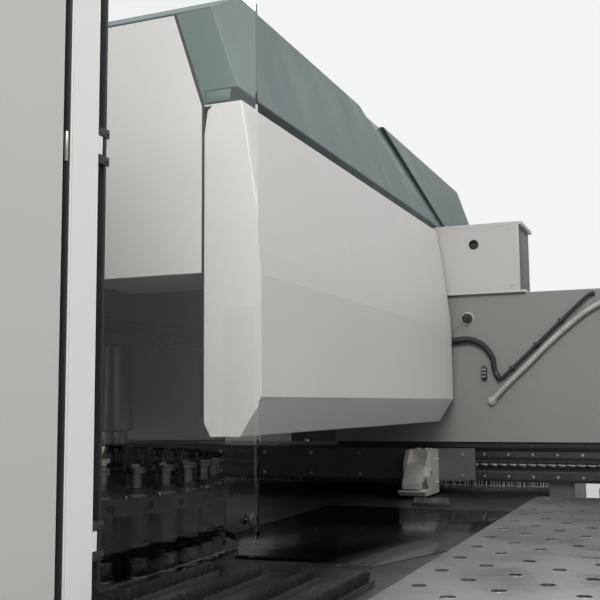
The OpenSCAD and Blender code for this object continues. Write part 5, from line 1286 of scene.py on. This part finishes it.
# floor, world and lamps: name, place, target, size, power and tone
studio = {"floorSize": 60.0, "floorTone": (0.80, 0.80, 0.79), "bounce": 0.30, "glossShare": 0.4, "worldLow": 0.05,
          "worldHigh": 0.80}
lamps = (
    ("keyLamp", (1.5, -3.6, 4.2), (0.5, -1.3, 1.7), (2.2, 1.6), 125, (1.0, 0.99, 0.97)),
    ("fillLamp", (5.5, 0.5, 4.6), (0.9, 0.3, 1.2), (3.5, 2.5), 75, (0.96, 0.98, 1.0)),
    ("backLamp", (-1.0, 7.0, 5.0), (0, 0.5, 1.2), (4.0, 2.0), 60, (1, 1, 1)),
)


def layFloor():
    mesh = bpy.data.meshes.new("floor")
    half, tone = studio["floorSize"] / 2, studio["floorTone"]
    mesh.from_pydata([(-half, -half, 0), (half, -half, 0), (half, half, 0), (-half, half, 0)], [], [(0, 1, 2, 3)])
    floor = bpy.data.objects.new("floor", mesh)
    bpy.context.scene.collection.objects.link(floor)
    made, tree, shader = startFinish("floorPaint", tone, 0.75)
    pale = mixTone(tree, ramp(tree, speckle(tree, 0.8, 4), 0.3, 0.7), shade(tone, 0.985), tone)
    # seen pale, but it throws less light back
    bounce = addNode(tree, "ShaderNodeLightPath").outputs["Is Diffuse Ray"]
    tree.links.new(mixTone(tree, bounce, pale, shade(tone, studio["bounce"])), shader.inputs["Base Color"])
    mesh.materials.append(made)


def makeWorld():
    world = bpy.data.worlds.new("studio")
    bpy.context.scene.world = world
    world.use_nodes = True
    tree = world.node_tree
    tree.nodes.clear()
    rays = addNode(tree, "ShaderNodeLightPath").outputs
    clear = maths(tree, "MAXIMUM", rays["Is Camera Ray"], rays["Is Transmission Ray"])
    seen = maths(tree, "MAXIMUM", clear, maths(tree, "MULTIPLY", rays["Is Glossy Ray"], studio["glossShare"]))
    spot = addNode(tree, "ShaderNodeTexCoord").outputs["Generated"]
    height = addNode(tree, "ShaderNodeSeparateXYZ", {"Vector": spot}).outputs["Z"]
    level = ramp(tree, height, -0.25, 0.75, studio["worldLow"], studio["worldHigh"], "SMOOTHSTEP")
    lit = addNode(tree, "ShaderNodeBackground", {"Color": (0.975, 0.985, 1.0, 1), "Strength": level}).outputs[0]
    pale = addNode(tree, "ShaderNodeBackground", {"Color": (0.90, 0.905, 0.91, 1), "Strength": 1.0}).outputs[0]
    both = addNode(tree, "ShaderNodeMixShader", {0: seen, 1: lit, 2: pale})
    addNode(tree, "ShaderNodeOutputWorld", {"Surface": both.outputs[0]})


def addLamp(name, place, target, size, power, tone):
    lamp = bpy.data.lights.new(name, "AREA")
    lamp.shape = "RECTANGLE"
    lamp.size, lamp.size_y = size
    lamp.energy, lamp.color = power, tone
    held = bpy.data.objects.new(name, lamp)
    held.location = place
    held.rotation_euler = (Vector(target) - Vector(place)).to_track_quat("-Z", "Y").to_euler()
    bpy.context.scene.collection.objects.link(held)


layFloor()
makeWorld()
for lampRow in lamps:
    addLamp(*lampRow)

# camera at the photograph's place, angles in degrees
view = {"place": (1.468, -2.521, 1.250), "heading": 22.39, "pitch": 6.35, "roll": -0.49, "lens": 56.52, "sensor": 36.0}


def setCamera():
    lens = bpy.data.cameras.new("camera")
    lens.lens, lens.sensor_width = view["lens"], view["sensor"]
    lens.clip_start, lens.clip_end = 0.05, 200
    held = bpy.data.objects.new("camera", lens)
    yaw, pitch, roll = (radians(view[key]) for key in ("heading", "pitch", "roll"))
    ahead = Vector((-sin(yaw) * cos(pitch), cos(yaw) * cos(pitch), sin(pitch)))
    right = Vector((cos(yaw), sin(yaw), 0))
    level = right.cross(ahead)
    side = cos(roll) * right + sin(roll) * level
    top = cos(roll) * level - sin(roll) * right
    held.matrix_world = Matrix.Translation(view["place"]) @ Matrix((side, top, -ahead)).transposed().to_4x4()
    bpy.context.scene.collection.objects.link(held)
    bpy.context.scene.camera = held


setCamera()
bpy.context.scene.view_settings.view_transform = "Standard"
print("studio set")
